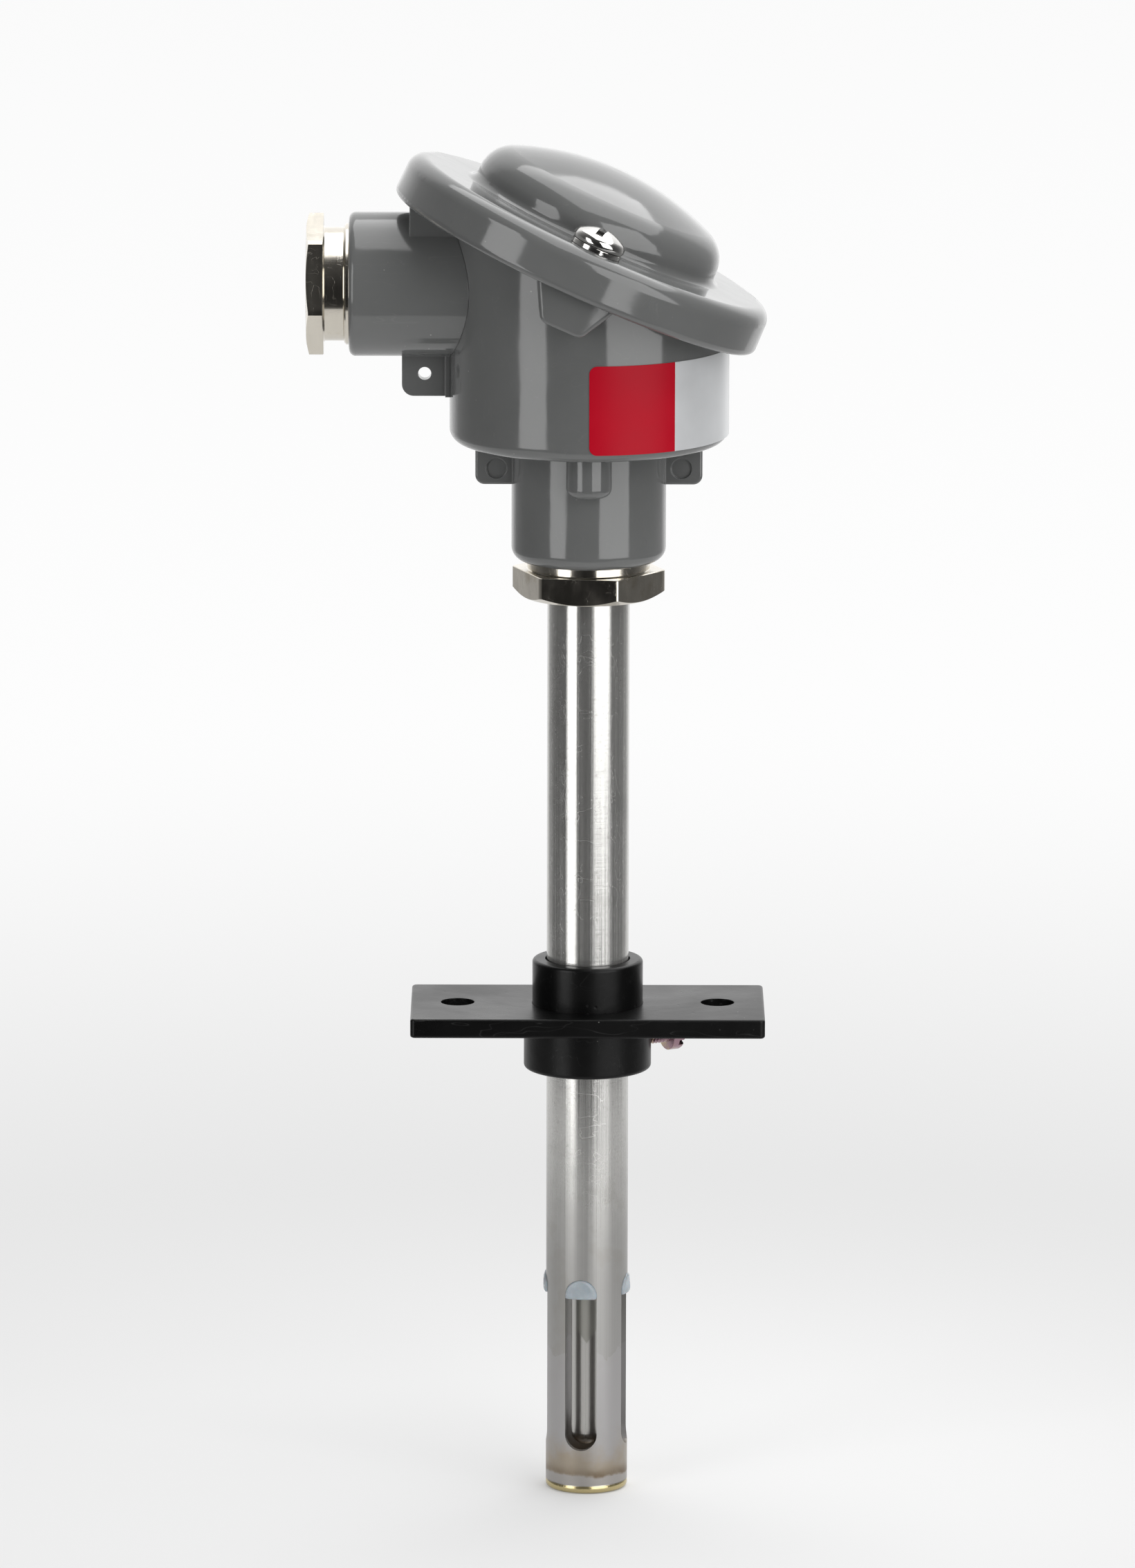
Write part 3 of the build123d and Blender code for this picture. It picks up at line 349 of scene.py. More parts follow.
def grainOf(tree, place, look):
    return useGroup(tree, turnedGrain, {
        "Place": place, "Streaks Round": look["streaksRound"], "Streak Length": look["streakLength"],
        "Ring Scale": look["ringScale"]}).outputs


def scratchesOf(tree, place, look):
    return useGroup(tree, fineScratches, {
        "Place": place, "Scale": look["scratchScale"], "Amount": look["scratches"]}).outputs[0]


def lacquerMaterial(name, look):
    material, tree, shader, place = newMaterial(name, {"IOR": look["ior"]})
    skin = useGroup(tree, castSkin, {
        "Place": place, "Wave Scale": look["waveScale"], "Peel Scale": look["peelScale"],
        "Peel Share": look["peelShare"], "Pit Share": look["pitShare"]})
    scratch = scratchesOf(tree, place, look)
    colour = shaded(tree, look["colour"], skin.outputs["Shade"], look["dark"], look["light"])
    dust = maths(tree, "MULTIPLY", skin.outputs["Dust"], look["dust"])
    colour = blendColours(tree, dust, colour, look["dustColour"])
    mark = maths(tree, "MULTIPLY", scratch, look["scratchShare"])
    colour = blendColours(tree, mark, colour, look["scratchColour"])
    tree.links.new(colour, shader.inputs["Base Color"])
    rough = between(tree, skin.outputs["Shade"], noiseLow, noiseHigh, look["gloss"], look["dull"])
    rough = maths(tree, "MULTIPLY_ADD", scratch, look["scratchRough"], rough)
    tree.links.new(rough, shader.inputs["Roughness"])
    bumpFrom(tree, shader, skin.outputs["Height"], look["waveDepth"] * mm, look["soften"])
    return material


def steelMaterial(name, look, turn=(0, 0, 0)):
    material, tree, shader, place = newMaterial(name, {"Metallic": 1.0})
    if any(turn):
        place = addNode(tree, "ShaderNodeMapping", None, {"Vector": place, "Rotation": turn}).outputs[0]
    grain = grainOf(tree, place, look)
    scratch = scratchesOf(tree, place, look)
    colour = shaded(tree, look["colour"], grain["Streak"], look["darkStreak"], look["lightStreak"])
    stain = between(tree, grain["Blotch"], look["stainFrom"], look["stainTo"])
    share = maths(tree, "MULTIPLY", stain, look["stainShare"])
    colour = blendColours(tree, share, colour, look["stainColour"])
    tree.links.new(colour, shader.inputs["Base Color"])
    rough = between(tree, grain["Streak"], noiseLow, noiseHigh, look["gloss"], look["dull"])
    rough = maths(tree, "MULTIPLY_ADD", scratch, look["scratchRough"], rough)
    tree.links.new(rough, shader.inputs["Roughness"])
    height = maths(tree, "MULTIPLY_ADD", grain["Ring"], look["ringShare"], grain["Streak"])
    bumpFrom(tree, shader, maths(tree, "SUBTRACT", height, scratch), look["grainDepth"] * mm)
    return material


def plainMaterial(name, look):
    # rubber, ceramic, insulation and the like: mottled, with a fine surface
    material, tree, shader, place = newMaterial(name, {
        "IOR": look.get("ior", 1.5), "Metallic": look.get("metallic", 0.0),
        "Subsurface Weight": look.get("depth", 0.0), "Subsurface Scale": 0.001,
        "Coat Weight": look.get("coat", 0.0), "Coat Roughness": 0.15})
    mottle = noiseAt(tree, place, look["scale"], 4.0, 0.6)
    colour = shaded(tree, look["colour"], mottle, look["dark"], look["light"])
    tree.links.new(colour, shader.inputs["Base Color"])
    rough = between(tree, mottle, noiseLow, noiseHigh, look["gloss"], look["dull"])
    tree.links.new(rough, shader.inputs["Roughness"])
    bumpFrom(tree, shader, noiseAt(tree, place, look["bumpScale"], 3.0), look["bumpDepth"] * mm)
    return material


greyLook = {
    "colour": (0.113, 0.115, 0.114, 1), "dark": 0.94, "light": 1.05, "ior": 1.5, "gloss": 0.07, "dull": 0.13,
    "dust": 0.5, "dustColour": (0.55, 0.55, 0.53, 1), "soften": 0.3, "waveScale": 110.0, "waveDepth": 0.07,
    "peelScale": 900.0, "peelShare": 0.05, "pitShare": 0.25, "scratchScale": 40.0, "scratches": 0.15,
    "scratchShare": 0.25, "scratchRough": 0.3, "scratchColour": (0.4, 0.4, 0.4, 1),
}
blackLook = dict(greyLook, colour=(0.002, 0.002, 0.002, 1), ior=1.27, gloss=0.26, dull=0.36, waveScale=160.0,
                 waveDepth=0.09, peelScale=1300.0, peelShare=0.12, pitShare=0.5, scratchScale=55.0,
                 scratches=0.12)
nickelLook = {
    "colour": (0.66, 0.62, 0.545, 1), "darkStreak": 0.86, "lightStreak": 1.06, "gloss": 0.09, "dull": 0.2,
    "streaksRound": 3.0, "streakLength": 120.0, "ringScale": 5200.0, "ringShare": 0.8, "grainDepth": 0.004,
    "scratchScale": 60.0, "scratches": 0.6, "scratchRough": 0.2, "stainFrom": 0.58, "stainTo": 0.78,
    "stainShare": 0.45, "stainColour": (0.33, 0.27, 0.16, 1),
}
brassLook = dict(nickelLook, colour=(0.62, 0.43, 0.18, 1), gloss=0.2, dull=0.34)
brightLook = dict(nickelLook, colour=(0.7, 0.69, 0.67, 1), gloss=0.08, dull=0.16, stainShare=0.2,
                  scratches=0.35)
terminalLook = dict(nickelLook, gloss=0.22, dull=0.35)
zincLook = dict(nickelLook, colour=(0.48, 0.38, 0.23, 1), gloss=0.2, dull=0.32, stainFrom=0.42, stainTo=0.58,
                stainShare=0.8, stainColour=(0.26, 0.15, 0.23, 1))
ceramicLook = {
    "colour": (0.72, 0.69, 0.62, 1), "scale": 220.0, "dark": 0.93, "light": 1.04, "gloss": 0.5, "dull": 0.65,
    "bumpScale": 1800.0, "bumpDepth": 0.02,
}
rubberLook = {
    "colour": (0.018, 0.018, 0.018, 1), "scale": 300.0, "dark": 0.8, "light": 1.25, "gloss": 0.5, "dull": 0.7,
    "bumpScale": 1600.0, "bumpDepth": 0.02,
}
leadLook = {
    "colour": (0.62, 0.55, 0.45, 1), "scale": 500.0, "dark": 0.85, "light": 1.1, "gloss": 0.45, "dull": 0.6,
    "bumpScale": 2500.0, "bumpDepth": 0.02,
}
sealantLook = {
    "colour": (0.27, 0.305, 0.33, 1), "scale": 260.0, "dark": 0.85, "light": 1.12, "gloss": 0.16, "dull": 0.3,
    "bumpScale": 700.0, "bumpDepth": 0.05, "depth": 0.25, "ior": 1.42,
}
labelRedLook = {
    "colour": (0.38, 0.001, 0.012, 1), "ior": 1.22, "scale": 90.0, "dark": 0.96, "light": 1.03, "gloss": 0.34,
    "dull": 0.42, "bumpScale": 260.0, "bumpDepth": 0.01,
}
labelSilverLook = {
    "colour": (0.58, 0.59, 0.60, 1), "scale": 90.0, "dark": 0.95, "light": 1.04, "gloss": 0.3, "dull": 0.4,
    "bumpScale": 260.0, "bumpDepth": 0.015, "coat": 0.3, "metallic": 0.25,
}

greyLacquer = lacquerMaterial("greyLacquer", greyLook)
blackLacquer = lacquerMaterial("blackLacquer", blackLook)
nickelPlate = steelMaterial("nickelPlate", nickelLook)
nickelAlongX = steelMaterial("nickelAlongX", nickelLook, (0, math.pi / 2, 0))
plainBrass = steelMaterial("plainBrass", brassLook)
brightSteel = steelMaterial("brightSteel", brightLook)
terminalPlate = steelMaterial("terminalPlate", terminalLook)
yellowZinc = steelMaterial("yellowZinc", zincLook)
ceramic = plainMaterial("ceramic", ceramicLook)
rubber = plainMaterial("rubber", rubberLook)
leadInsulation = plainMaterial("leadInsulation", leadLook)
sealant = plainMaterial("sealant", sealantLook)
labelRed = plainMaterial("labelRed", labelRedLook)
labelSilver = plainMaterial("labelSilver", labelSilverLook)


def tubeMaterial():
    # ground steel above, duller and stained below, a zigzag edge of film, and browned by heat at the end
    look = {
        "metallic": 0.87, "colour": (0.60, 0.595, 0.575, 1), "shades": (0.82, 1.08), "smooth": (0.15, 0.25),
        "streaksRound": 26.0, "streakLength": 12.0, "ringScale": 2600.0, "ringShare": 0.5,
        "grainDepth": 0.006, "scratchScale": 55.0, "scratches": 0.5, "scratchRough": 0.2,
        "dullZone": (-12.0, -52.0), "dullColour": (0.33, 0.325, 0.315, 1), "dullShades": (0.93, 1.04),
        "rough": (0.30, 0.40), "ragged": 16.0,
        "stainColour": (0.30, 0.29, 0.27, 1), "mottle": (0.52, 0.66), "mottleShare": 0.55, "mottleAbove": 0.3,
        "speckle": (0.56, 0.68), "speckleShare": 0.3, "speckleScale": 1500.0,
        "filmHeight": -64.5, "filmEdge": 0.15, "filmWave": 1.6, "filmTeeth": 9.0, "filmRagged": 6.0,
        "filmColour": (0.375, 0.365, 0.37, 1), "filmShare": 0.6,
        "heatZone": (-80.5, -89.5), "heatColour": (0.31, 0.255, 0.18, 1), "heatShare": 0.55, "heatUnder": 0.2,
        "bandHeight": -89.9, "bandAbove": 2.6, "bandBelow": 0.7, "bandRagged": 3.0,
        "bandColour": (0.13, 0.09, 0.055, 1), "bandPatch": (0.35, 0.6), "bandShares": (0.35, 0.8),
        "edgeZone": (-92.0, -92.3), "edgeColour": (0.50, 0.42, 0.22, 1), "edgeSmooth": 0.16,
        "bead": 0.22, "beadEnd": -93.75,
    }
    material, tree, shader, place = newMaterial("tubeSteel", {"Metallic": look["metallic"]})
    grain = grainOf(tree, place, look)
    scratch = scratchesOf(tree, place, look)
    x, y, height = addNode(tree, "ShaderNodeSeparateXYZ", None, {0: place}).outputs
    uneven = maths(tree, "SUBTRACT", grain["Blotch"], 0.5)
    ragged = maths(tree, "MULTIPLY_ADD", uneven, look["ragged"] * mm, height)
    dull = between(tree, ragged, *[z * mm for z in look["dullZone"]])
    heat = between(tree, ragged, *[z * mm for z in look["heatZone"]])
    edge = between(tree, height, *[z * mm for z in look["edgeZone"]])
    colour = shaded(tree, look["colour"], grain["Streak"], *look["shades"])
    dullColour = shaded(tree, look["dullColour"], grain["Streak"], *look["dullShades"])
    colour = blendColours(tree, dull, colour, dullColour)
    lowShare = maths(tree, "MULTIPLY_ADD", dull, 1.0 - look["mottleAbove"], look["mottleAbove"])
    mottle = maths(tree, "MULTIPLY", between(tree, grain["Blotch"], *look["mottle"]), lowShare)
    mottle = maths(tree, "MULTIPLY", mottle, look["mottleShare"])
    colour = blendColours(tree, mottle, colour, look["stainColour"])
    fine = noiseAt(tree, place, look["speckleScale"], 3.0, 0.6)
    speckle = between(tree, fine, *look["speckle"], 0.0, look["speckleShare"])
    speckle = maths(tree, "MULTIPLY", speckle, inverse(tree, dull))
    colour = blendColours(tree, speckle, colour, look["stainColour"])
    # teeth of the film's edge round the tube
    angle = maths(tree, "ARCTAN2", y, x)
    tooth = maths(tree, "PINGPONG", maths(tree, "MULTIPLY", angle, look["filmTeeth"] / math.pi), 1.0)
    filmPlace = maths(tree, "MULTIPLY_ADD", uneven, look["filmRagged"] * mm, height)
    filmPlace = maths(tree, "MULTIPLY_ADD", tooth, look["filmWave"] * mm, filmPlace)
    film = between(tree, filmPlace, look["filmHeight"] * mm, (look["filmHeight"] - look["filmEdge"]) * mm)
    colour = blendColours(tree, maths(tree, "MULTIPLY", film, look["filmShare"]), colour, look["filmColour"])
    # the darkest tint ends low in a soft line and fades upwards
    bandHeight = look["bandHeight"] * mm
    bandPlace = maths(tree, "MULTIPLY_ADD", uneven, look["bandRagged"] * mm, height)
    fade = between(tree, bandPlace, bandHeight + look["bandAbove"] * mm, bandHeight)
    under = between(tree, bandPlace, bandHeight - look["bandBelow"] * mm, bandHeight)
    heatLevel = maths(tree, "MULTIPLY_ADD", under, look["heatShare"], look["heatUnder"])
    heat = maths(tree, "MULTIPLY", heat, heatLevel)
    colour = blendColours(tree, heat, colour, look["heatColour"])
    band = maths(tree, "MULTIPLY", maths(tree, "MULTIPLY", fade, fade), under)
    patch = between(tree, grain["Blotch"], *look["bandPatch"], *look["bandShares"])
    colour = blendColours(tree, maths(tree, "MULTIPLY", band, patch), colour, look["bandColour"])
    colour = blendColours(tree, edge, colour, look["edgeColour"])
    tree.links.new(colour, shader.inputs["Base Color"])
    upper = between(tree, grain["Streak"], noiseLow, noiseHigh, *look["smooth"])
    lower = between(tree, grain["Streak"], noiseLow, noiseHigh, *look["rough"])
    upper = maths(tree, "MULTIPLY", upper, inverse(tree, dull))
    rough = maths(tree, "ADD", upper, maths(tree, "MULTIPLY", lower, dull))
    rough = maths(tree, "MULTIPLY_ADD", scratch, look["scratchRough"], rough)
    rough = maths(tree, "SUBTRACT", rough, maths(tree, "MULTIPLY", edge, look["edgeSmooth"]))
    tree.links.new(rough, shader.inputs["Roughness"])
    relief = maths(tree, "MULTIPLY_ADD", grain["Ring"], look["ringShare"], grain["Streak"])
    relief = maths(tree, "SUBTRACT", relief, scratch)
    # the end's edge is a rounded bead, a bow from 0 up to 1 and back
    beadLow, beadHigh = look["beadEnd"] * mm, look["edgeZone"][0] * mm
    across = maths(tree, "DIVIDE", maths(tree, "SUBTRACT", height, beadLow), beadHigh - beadLow)
    bow = maths(tree, "MULTIPLY", maths(tree, "MULTIPLY", across, inverse(tree, across)), 4.0)
    bead = maths(tree, "MAXIMUM", bow, 0.0)
    relief = maths(tree, "MULTIPLY_ADD", bead, look["bead"] / look["grainDepth"], relief)
    bumpFrom(tree, shader, relief, look["grainDepth"] * mm)
    return material


def rodMaterial():
    # drawn steel, with a dull tongue of sealant run down its front
    look = {
        "colour": (0.50, 0.49, 0.47, 1), "shades": (0.85, 1.08), "gloss": 0.26, "dull": 0.36,
        "streaksRound": 9.0, "streakLength": 10.0, "ringScale": 2000.0, "ringShare": 0.4,
        "grainDepth": 0.005,
        "tongueTip": -64.5, "tongueHalf": 2.0, "tonguePoint": 1.4, "tongueEnd": 0.3, "tongueSide": 0.4,
        "tongueColour": (0.40, 0.395, 0.36, 1), "tongueShare": 0.8, "tongueRough": 0.22,
    }
    material, tree, shader, place = newMaterial("rodSteel", {"Metallic": 1.0})
    grain = grainOf(tree, place, look)
    x, y, height = addNode(tree, "ShaderNodeSeparateXYZ", None, {0: place}).outputs
    aside = maths(tree, "ABSOLUTE", x)
    low = maths(tree, "MULTIPLY_ADD", aside, -look["tonguePoint"], height)
    tongue = between(tree, low, look["tongueTip"] * mm, (look["tongueTip"] + look["tongueEnd"]) * mm)
    inside = between(tree, aside, look["tongueHalf"] * mm, (look["tongueHalf"] - look["tongueSide"]) * mm)
    tongue = maths(tree, "MULTIPLY", tongue, inside)
    tongue = maths(tree, "MULTIPLY", tongue, maths(tree, "LESS_THAN", y, 0.0))
    colour = shaded(tree, look["colour"], grain["Streak"], *look["shades"])
    share = maths(tree, "MULTIPLY", tongue, look["tongueShare"])
    tree.links.new(blendColours(tree, share, colour, look["tongueColour"]), shader.inputs["Base Color"])
    rough = between(tree, grain["Streak"], noiseLow, noiseHigh, look["gloss"], look["dull"])
    rough = maths(tree, "MULTIPLY_ADD", tongue, look["tongueRough"], rough)
    tree.links.new(rough, shader.inputs["Roughness"])
    relief = maths(tree, "MULTIPLY_ADD", grain["Ring"], look["ringShare"], grain["Streak"])
    bumpFrom(tree, shader, relief, look["grainDepth"] * mm)
    return material


tubeSteel = tubeMaterial()
rodSteel = rodMaterial()
print("materials made")

# finishes of the CAD nodes that stay
nodeFinish = {
    "flange_plate": blackLacquer, "flange_hub": blackLacquer, "protection_tube": tubeSteel,
    "tube_end_cap": tubeSteel, "measuring_rod": rodSteel, "sensing_chip": ceramic,
    "lead_wires": leadInsulation, "neck_clamp_ring": plainBrass, "head_housing": greyLacquer,
    "housing_neck": greyLacquer, "cable_boss": greyLacquer, "head_cover": greyLacquer,
    "cover_gasket": rubber, "gland_washer": brightSteel, "gland_seal": rubber, "terminal_base": ceramic,
    "terminal_clamp_left": terminalPlate, "terminal_clamp_right": terminalPlate,
    "terminal_screws": brightSteel, "base_screws": brightSteel, "earth_washer": plainBrass,
    "earth_screw": brightSteel,
}
for nodeName, finish in nodeFinish.items():
    setMaterial(nodes[nodeName], finish)


# neck pressure screw with its thread
def neckPressureScrew():
    look = {"flats": 26.0, "turn": -38.4, "outer": 84.9, "hexTop": 90.2, "hexEdge": 0.12, "chamfer": 1.3,
            "chamferAngle": 30.0, "thread": 11.9, "threadDepth": 0.85, "pitch": 1.5, "fade": 0.5, "steps": 12,
            "fillet": 0.2, "plain": 2.2, "top": 101.9, "runOut": 0.6, "bore": 8.3, "boreEdge": 0.5,
            "topEdge": 0.4, "columns": 144, "smoothAngle": 28.0}
    outline, rim, start = hexagon(look)
    hexTop, thread, bore = look["hexTop"], look["thread"], look["bore"]
    rows = [(bore, look["top"] - look["topEdge"]), (bore, look["outer"] + look["boreEdge"]),
            (bore + look["boreEdge"], look["outer"]), (start, look["outer"]), (outline, rim),
            (outline, hexTop - look["hexEdge"]), (lambda angle: outline(angle) - look["hexEdge"], hexTop),
            (thread + look["fillet"], hexTop), (thread, hexTop + look["fillet"])]
    rows += threadRows(look, hexTop + look["plain"], look["top"] - look["runOut"])
    rows += [(thread - look["threadDepth"], look["top"]), (bore + look["topEdge"], look["top"])]
    piece = turned("neckPressureScrew", rows, look["columns"], True, Matrix.Identity(4), look["smoothAngle"])
    setMaterial(piece, nickelPlate)
    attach(piece, "neck_nut")
    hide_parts("neck_nut")


# gland screw with its relief neck, plain collar and thread
def glandScrew():
    look = {"axisHeight": 145.9, "flats": 24.0, "turn": 16.5, "outer": -54.6, "hexEnd": -51.3, "hexEdge": 0.1,
            "chamfer": 0.55, "chamferAngle": 15.0, "neck": 11.0, "fillet": 0.3, "collarFrom": -47.4,
            "collarEdge": ((-0.25, 0.2), (0.0, 0.5)), "plainEnd": 0.1, "thread": 11.75, "threadDepth": 0.8,
            "pitch": 1.5, "fade": 0.8, "steps": 12, "threadFrom": -45.5, "runOut": 0.5, "end": -39.3,
            "bore": 6.5, "boreEdge": 0.8, "endEdge": 0.3, "columns": 144, "smoothAngle": 28.0}
    # in the screw's own frame the height runs along +X of the part, and the first axis points down
    place = Matrix.Translation((0, 0, look["axisHeight"] * mm)) @ Matrix.Rotation(math.pi / 2, 4, "Y")
    outline, rim, start = hexagon(look)
    hexEnd, neck, thread, bore = look["hexEnd"], look["neck"], look["thread"], look["bore"]
    rows = [(bore, look["end"] - look["endEdge"]), (bore, look["outer"] + look["boreEdge"]),
            (bore + look["boreEdge"], look["outer"]), (start, look["outer"]), (outline, rim),
            (outline, hexEnd - look["hexEdge"]), (lambda angle: outline(angle) - look["hexEdge"], hexEnd),
            (neck + look["fillet"], hexEnd), (neck, hexEnd + look["fillet"]), (neck, look["collarFrom"])]
    rows += [(thread + out, look["collarFrom"] + up) for out, up in look["collarEdge"]]
    rows += [(thread, look["threadFrom"] - look["plainEnd"])]
    rows += threadRows(look, look["threadFrom"], look["end"] - look["runOut"])
    rows += [(thread - look["threadDepth"], look["end"]), (bore + look["endEdge"], look["end"])]
    piece = turned("glandScrew", rows, look["columns"], True, place, look["smoothAngle"])
    setMaterial(piece, nickelAlongX)
    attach(piece, "gland")
    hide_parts("gland_screw")


# clamp screw in the lower collar
def clampScrew():
    look = {"turn": 28.0, "drop": 4.1, "tip": 8.3, "tipRadii": (0.9, 1.0), "point": 1.2, "rootShare": 0.7,
            "seat": 17.5, "headHeight": 2.6, "head": 3.5, "thread": 1.95, "threadDepth": 0.38, "pitch": 0.7,
            "fade": 0.4, "steps": 10, "runOut": 0.15, "seatEdge": 0.1, "edge": 0.5, "shoulder": 0.15,
            "crown": (0.5, 0.02),
            "slotSize": (1.15, 9.0), "slotDepth": 1.3, "slotTurn": math.degrees(0.5), "columns": 64}
    direction = Matrix.Rotation(math.radians(look["turn"]), 4, "Z") @ Matrix.Rotation(math.pi / 2, 4, "Y")
    place = Matrix.Translation((0, 0, -look["drop"] * mm)) @ direction
    head, seat, tip = look["head"], look["seat"], look["tip"]
    top = seat + look["headHeight"]
    rows = [(radius, tip) for radius in look["tipRadii"]]
    rows += [(look["thread"] - look["threadDepth"], tip + look["point"] * look["rootShare"])]
    rows += threadRows(look, tip + look["point"], seat - look["runOut"])
    rows += [(head - look["seatEdge"], seat), (head, seat + look["seatEdge"]), (head, top - look["edge"]),
             (head - look["shoulder"], top - look["shoulder"]), (head - look["edge"], top),
             (look["crown"][0], top + look["crown"][1])]
    piece = turned("clampScrew", rows, look["columns"], False, place)
    cutSlot(piece, place, look, top)
    setMaterial(piece, yellowZinc)
    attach(piece, "clamp_screw")
    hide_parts("clamp_screw")


# cover screws: a low band, a flatter crown with a short slot, and thread turns under the head
def coverScrew(name, side):
    look = {"shift": -3.0, "rise": 148.15, "tilt": 24.3, "roll": 1.6, "out": 30.2, "seat": 10.1,
            "length": 12.0, "tip": 0.3, "root": 0.62, "thread": 2.45, "threadDepth": 0.42, "pitch": 0.8,
            "fade": 0.4, "steps": 10, "threadFrom": 0.3, "threadTo": 1.0, "plain": 0.6,
            "slotSize": (8.2, 1.5), "slotDepth": 1.5, "slotTurn": 77.0, "columns": 96}
    # radius and height of the head's section, from its underside to its crown
    profile = ((4.55, 0.0), (4.95, 0.12), (5.15, 0.45), (5.2, 0.9), (5.1, 1.35), (4.9, 1.75), (4.62, 2.05),
               (4.35, 2.22), (3.8, 2.52), (3.1, 2.84), (2.3, 3.12), (1.5, 3.33), (0.75, 3.45), (0.2, 3.49))
    washerLook = {"bore": 2.75, "radius": 5.03, "low": 9.1, "high": 10.09, "lowEdge": (0.08, 0.1),
                  "highEdge": (0.13, 0.11)}
    # the screw stands on the cover, which slopes to the right and leans back a little
    tilt, roll = math.radians(look["tilt"]), math.radians(look["roll"])
    right = Vector((math.cos(tilt), 0, -math.sin(tilt)))
    up = Vector((math.sin(tilt) * math.cos(roll), math.sin(roll), math.cos(tilt) * math.cos(roll)))
    back = up.cross(right)
    origin = (Vector((look["shift"], 0, look["rise"])) + back * side * look["out"]) * mm
    place = Matrix.Translation(origin) @ Matrix((right, back, up)).transposed().to_4x4()
    thread, seat = look["thread"], look["seat"]
    foot = seat - look["length"]
    rows = [(look["tip"], foot), (thread - look["root"], foot)]
    rows += threadRows(look, foot + look["threadFrom"], seat - look["threadTo"])
    rows += [(thread, seat - look["plain"]), (thread, seat)]
    rows += [(radius, seat + height) for radius, height in profile]
    screw = turned(name, rows, look["columns"], False, place)
    cutSlot(screw, place, look, seat + profile[-1][1])
    bore, radius = washerLook["bore"], washerLook["radius"]
    low, high = washerLook["low"], washerLook["high"]
    lowIn, lowUp = washerLook["lowEdge"]
    highIn, highDown = washerLook["highEdge"]
    rows = [(bore, low), (radius - lowIn, low), (radius, low + lowUp), (radius, high - highDown),
            (radius - highIn, high), (bore, high)]
    washer = turned(name + "Washer", rows, look["columns"], True, place)
    return screw, washer


def coverScrews():
    for place, side in (("front", -1), ("rear", 1)):
        piece, washer = coverScrew("coverScrew" + place.title(), side)
        setMaterial(piece, brightSteel)
        setMaterial(washer, brightSteel)
        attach(piece, place + "_screw")
        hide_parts("cover_screw_" + place)
        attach(washer, place + "_washer")
        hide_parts("cover_washer_" + place)


# label round the body, its two fields left bare
def bodyLabel():
    look = {"radius": 27.02, "thickness": 0.11, "bottom": 117.0, "top": 134.3, "start": -90.0,
            "redTo": 37.3, "end": 115.0, "corner": 1.5, "cornerSteps": (0.02, 0.1, 0.25, 0.5, 0.75),
            "columns": 150, "rows": 6}
    arc = math.radians(look["end"]) * look["radius"]
    red = look["redTo"] / look["end"]
    shares = [index / look["columns"] for index in range(look["columns"] + 1)]
    for step in look["cornerSteps"]:
        shares += [look["corner"] / arc * step, 1 - look["corner"] / arc * step]
    shares = sorted(set(shares + [red]))
    vertices = []
    for share in shares:
        near = min(share, 1 - share) * arc
        inset = 0.0
        if near < look["corner"]:
            inset = look["corner"] - math.sqrt(look["corner"] ** 2 - (look["corner"] - near) ** 2)
        angle = math.radians(look["start"] + share * look["end"])
        for row in range(look["rows"] + 1):
            z = look["bottom"] + inset + (look["top"] - look["bottom"] - 2 * inset) * row / look["rows"]
            place = (look["radius"] * math.cos(angle), look["radius"] * math.sin(angle), z)
            vertices.append([length * mm for length in place])
    faces = []
    step = look["rows"] + 1
    for column in range(len(shares) - 1):
        for row in range(look["rows"]):
            a = column * step + row
            faces.append((a, a + step, a + step + 1, a + 1))
    mesh = bpy.data.meshes.new("bodyLabel")
    mesh.from_pydata(vertices, [], faces)
    for face in mesh.polygons:
        column = face.vertices[0] // step
        face.material_index = 0 if shares[column] < red - 1e-6 else 1
        face.use_smooth = True
    piece = bpy.data.objects.new("bodyLabel", mesh)
    bpy.context.scene.collection.objects.link(piece)
    mesh.materials.append(labelRed)
    mesh.materials.append(labelSilver)
    thick = piece.modifiers.new("thickness", "SOLIDIFY")
    thick.thickness = look["thickness"] * mm
    thick.offset = 1.0
    applyModifiers(piece)
    tidyNormals(piece)
    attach(piece, "sensor")
    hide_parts("body_label")


# sealant: the CAD plug with soft, uneven blobs in the tops of the slots
def slotSealant():
    look = {"voxel": 0.25, "smooth": 16, "smoothFactor": 0.5, "outside": 6.9, "uneven": 0.22, "scale": 330.0,
            "smoothAngle": 60.0}
    source = nodes["tube_sealant"]
    piece = bpy.data.objects.new("slotSealant", source.data.copy())
    bpy.context.scene.collection.objects.link(piece)
    remesh = piece.modifiers.new("remesh", "REMESH")
    remesh.mode = "VOXEL"
    remesh.voxel_size = look["voxel"] * mm
    soften = piece.modifiers.new("soften", "SMOOTH")
    soften.factor = look["smoothFactor"]
    soften.iterations = look["smooth"]
    applyModifiers(piece)
    for vertex in piece.data.vertices:
        outward = Vector((vertex.co.x, vertex.co.y, 0))
        if outward.length > look["outside"] * mm:
            push = noise.noise(vertex.co * look["scale"]) * look["uneven"] * mm
            vertex.co += outward.normalized() * push
    tidyNormals(piece, look["smoothAngle"])
    setMaterial(piece, sealant)
    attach(piece, "sensor")
    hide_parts("tube_sealant")


neckPressureScrew()
glandScrew()
clampScrew()
coverScrews()
bodyLabel()
slotSealant()
print("own pieces made")


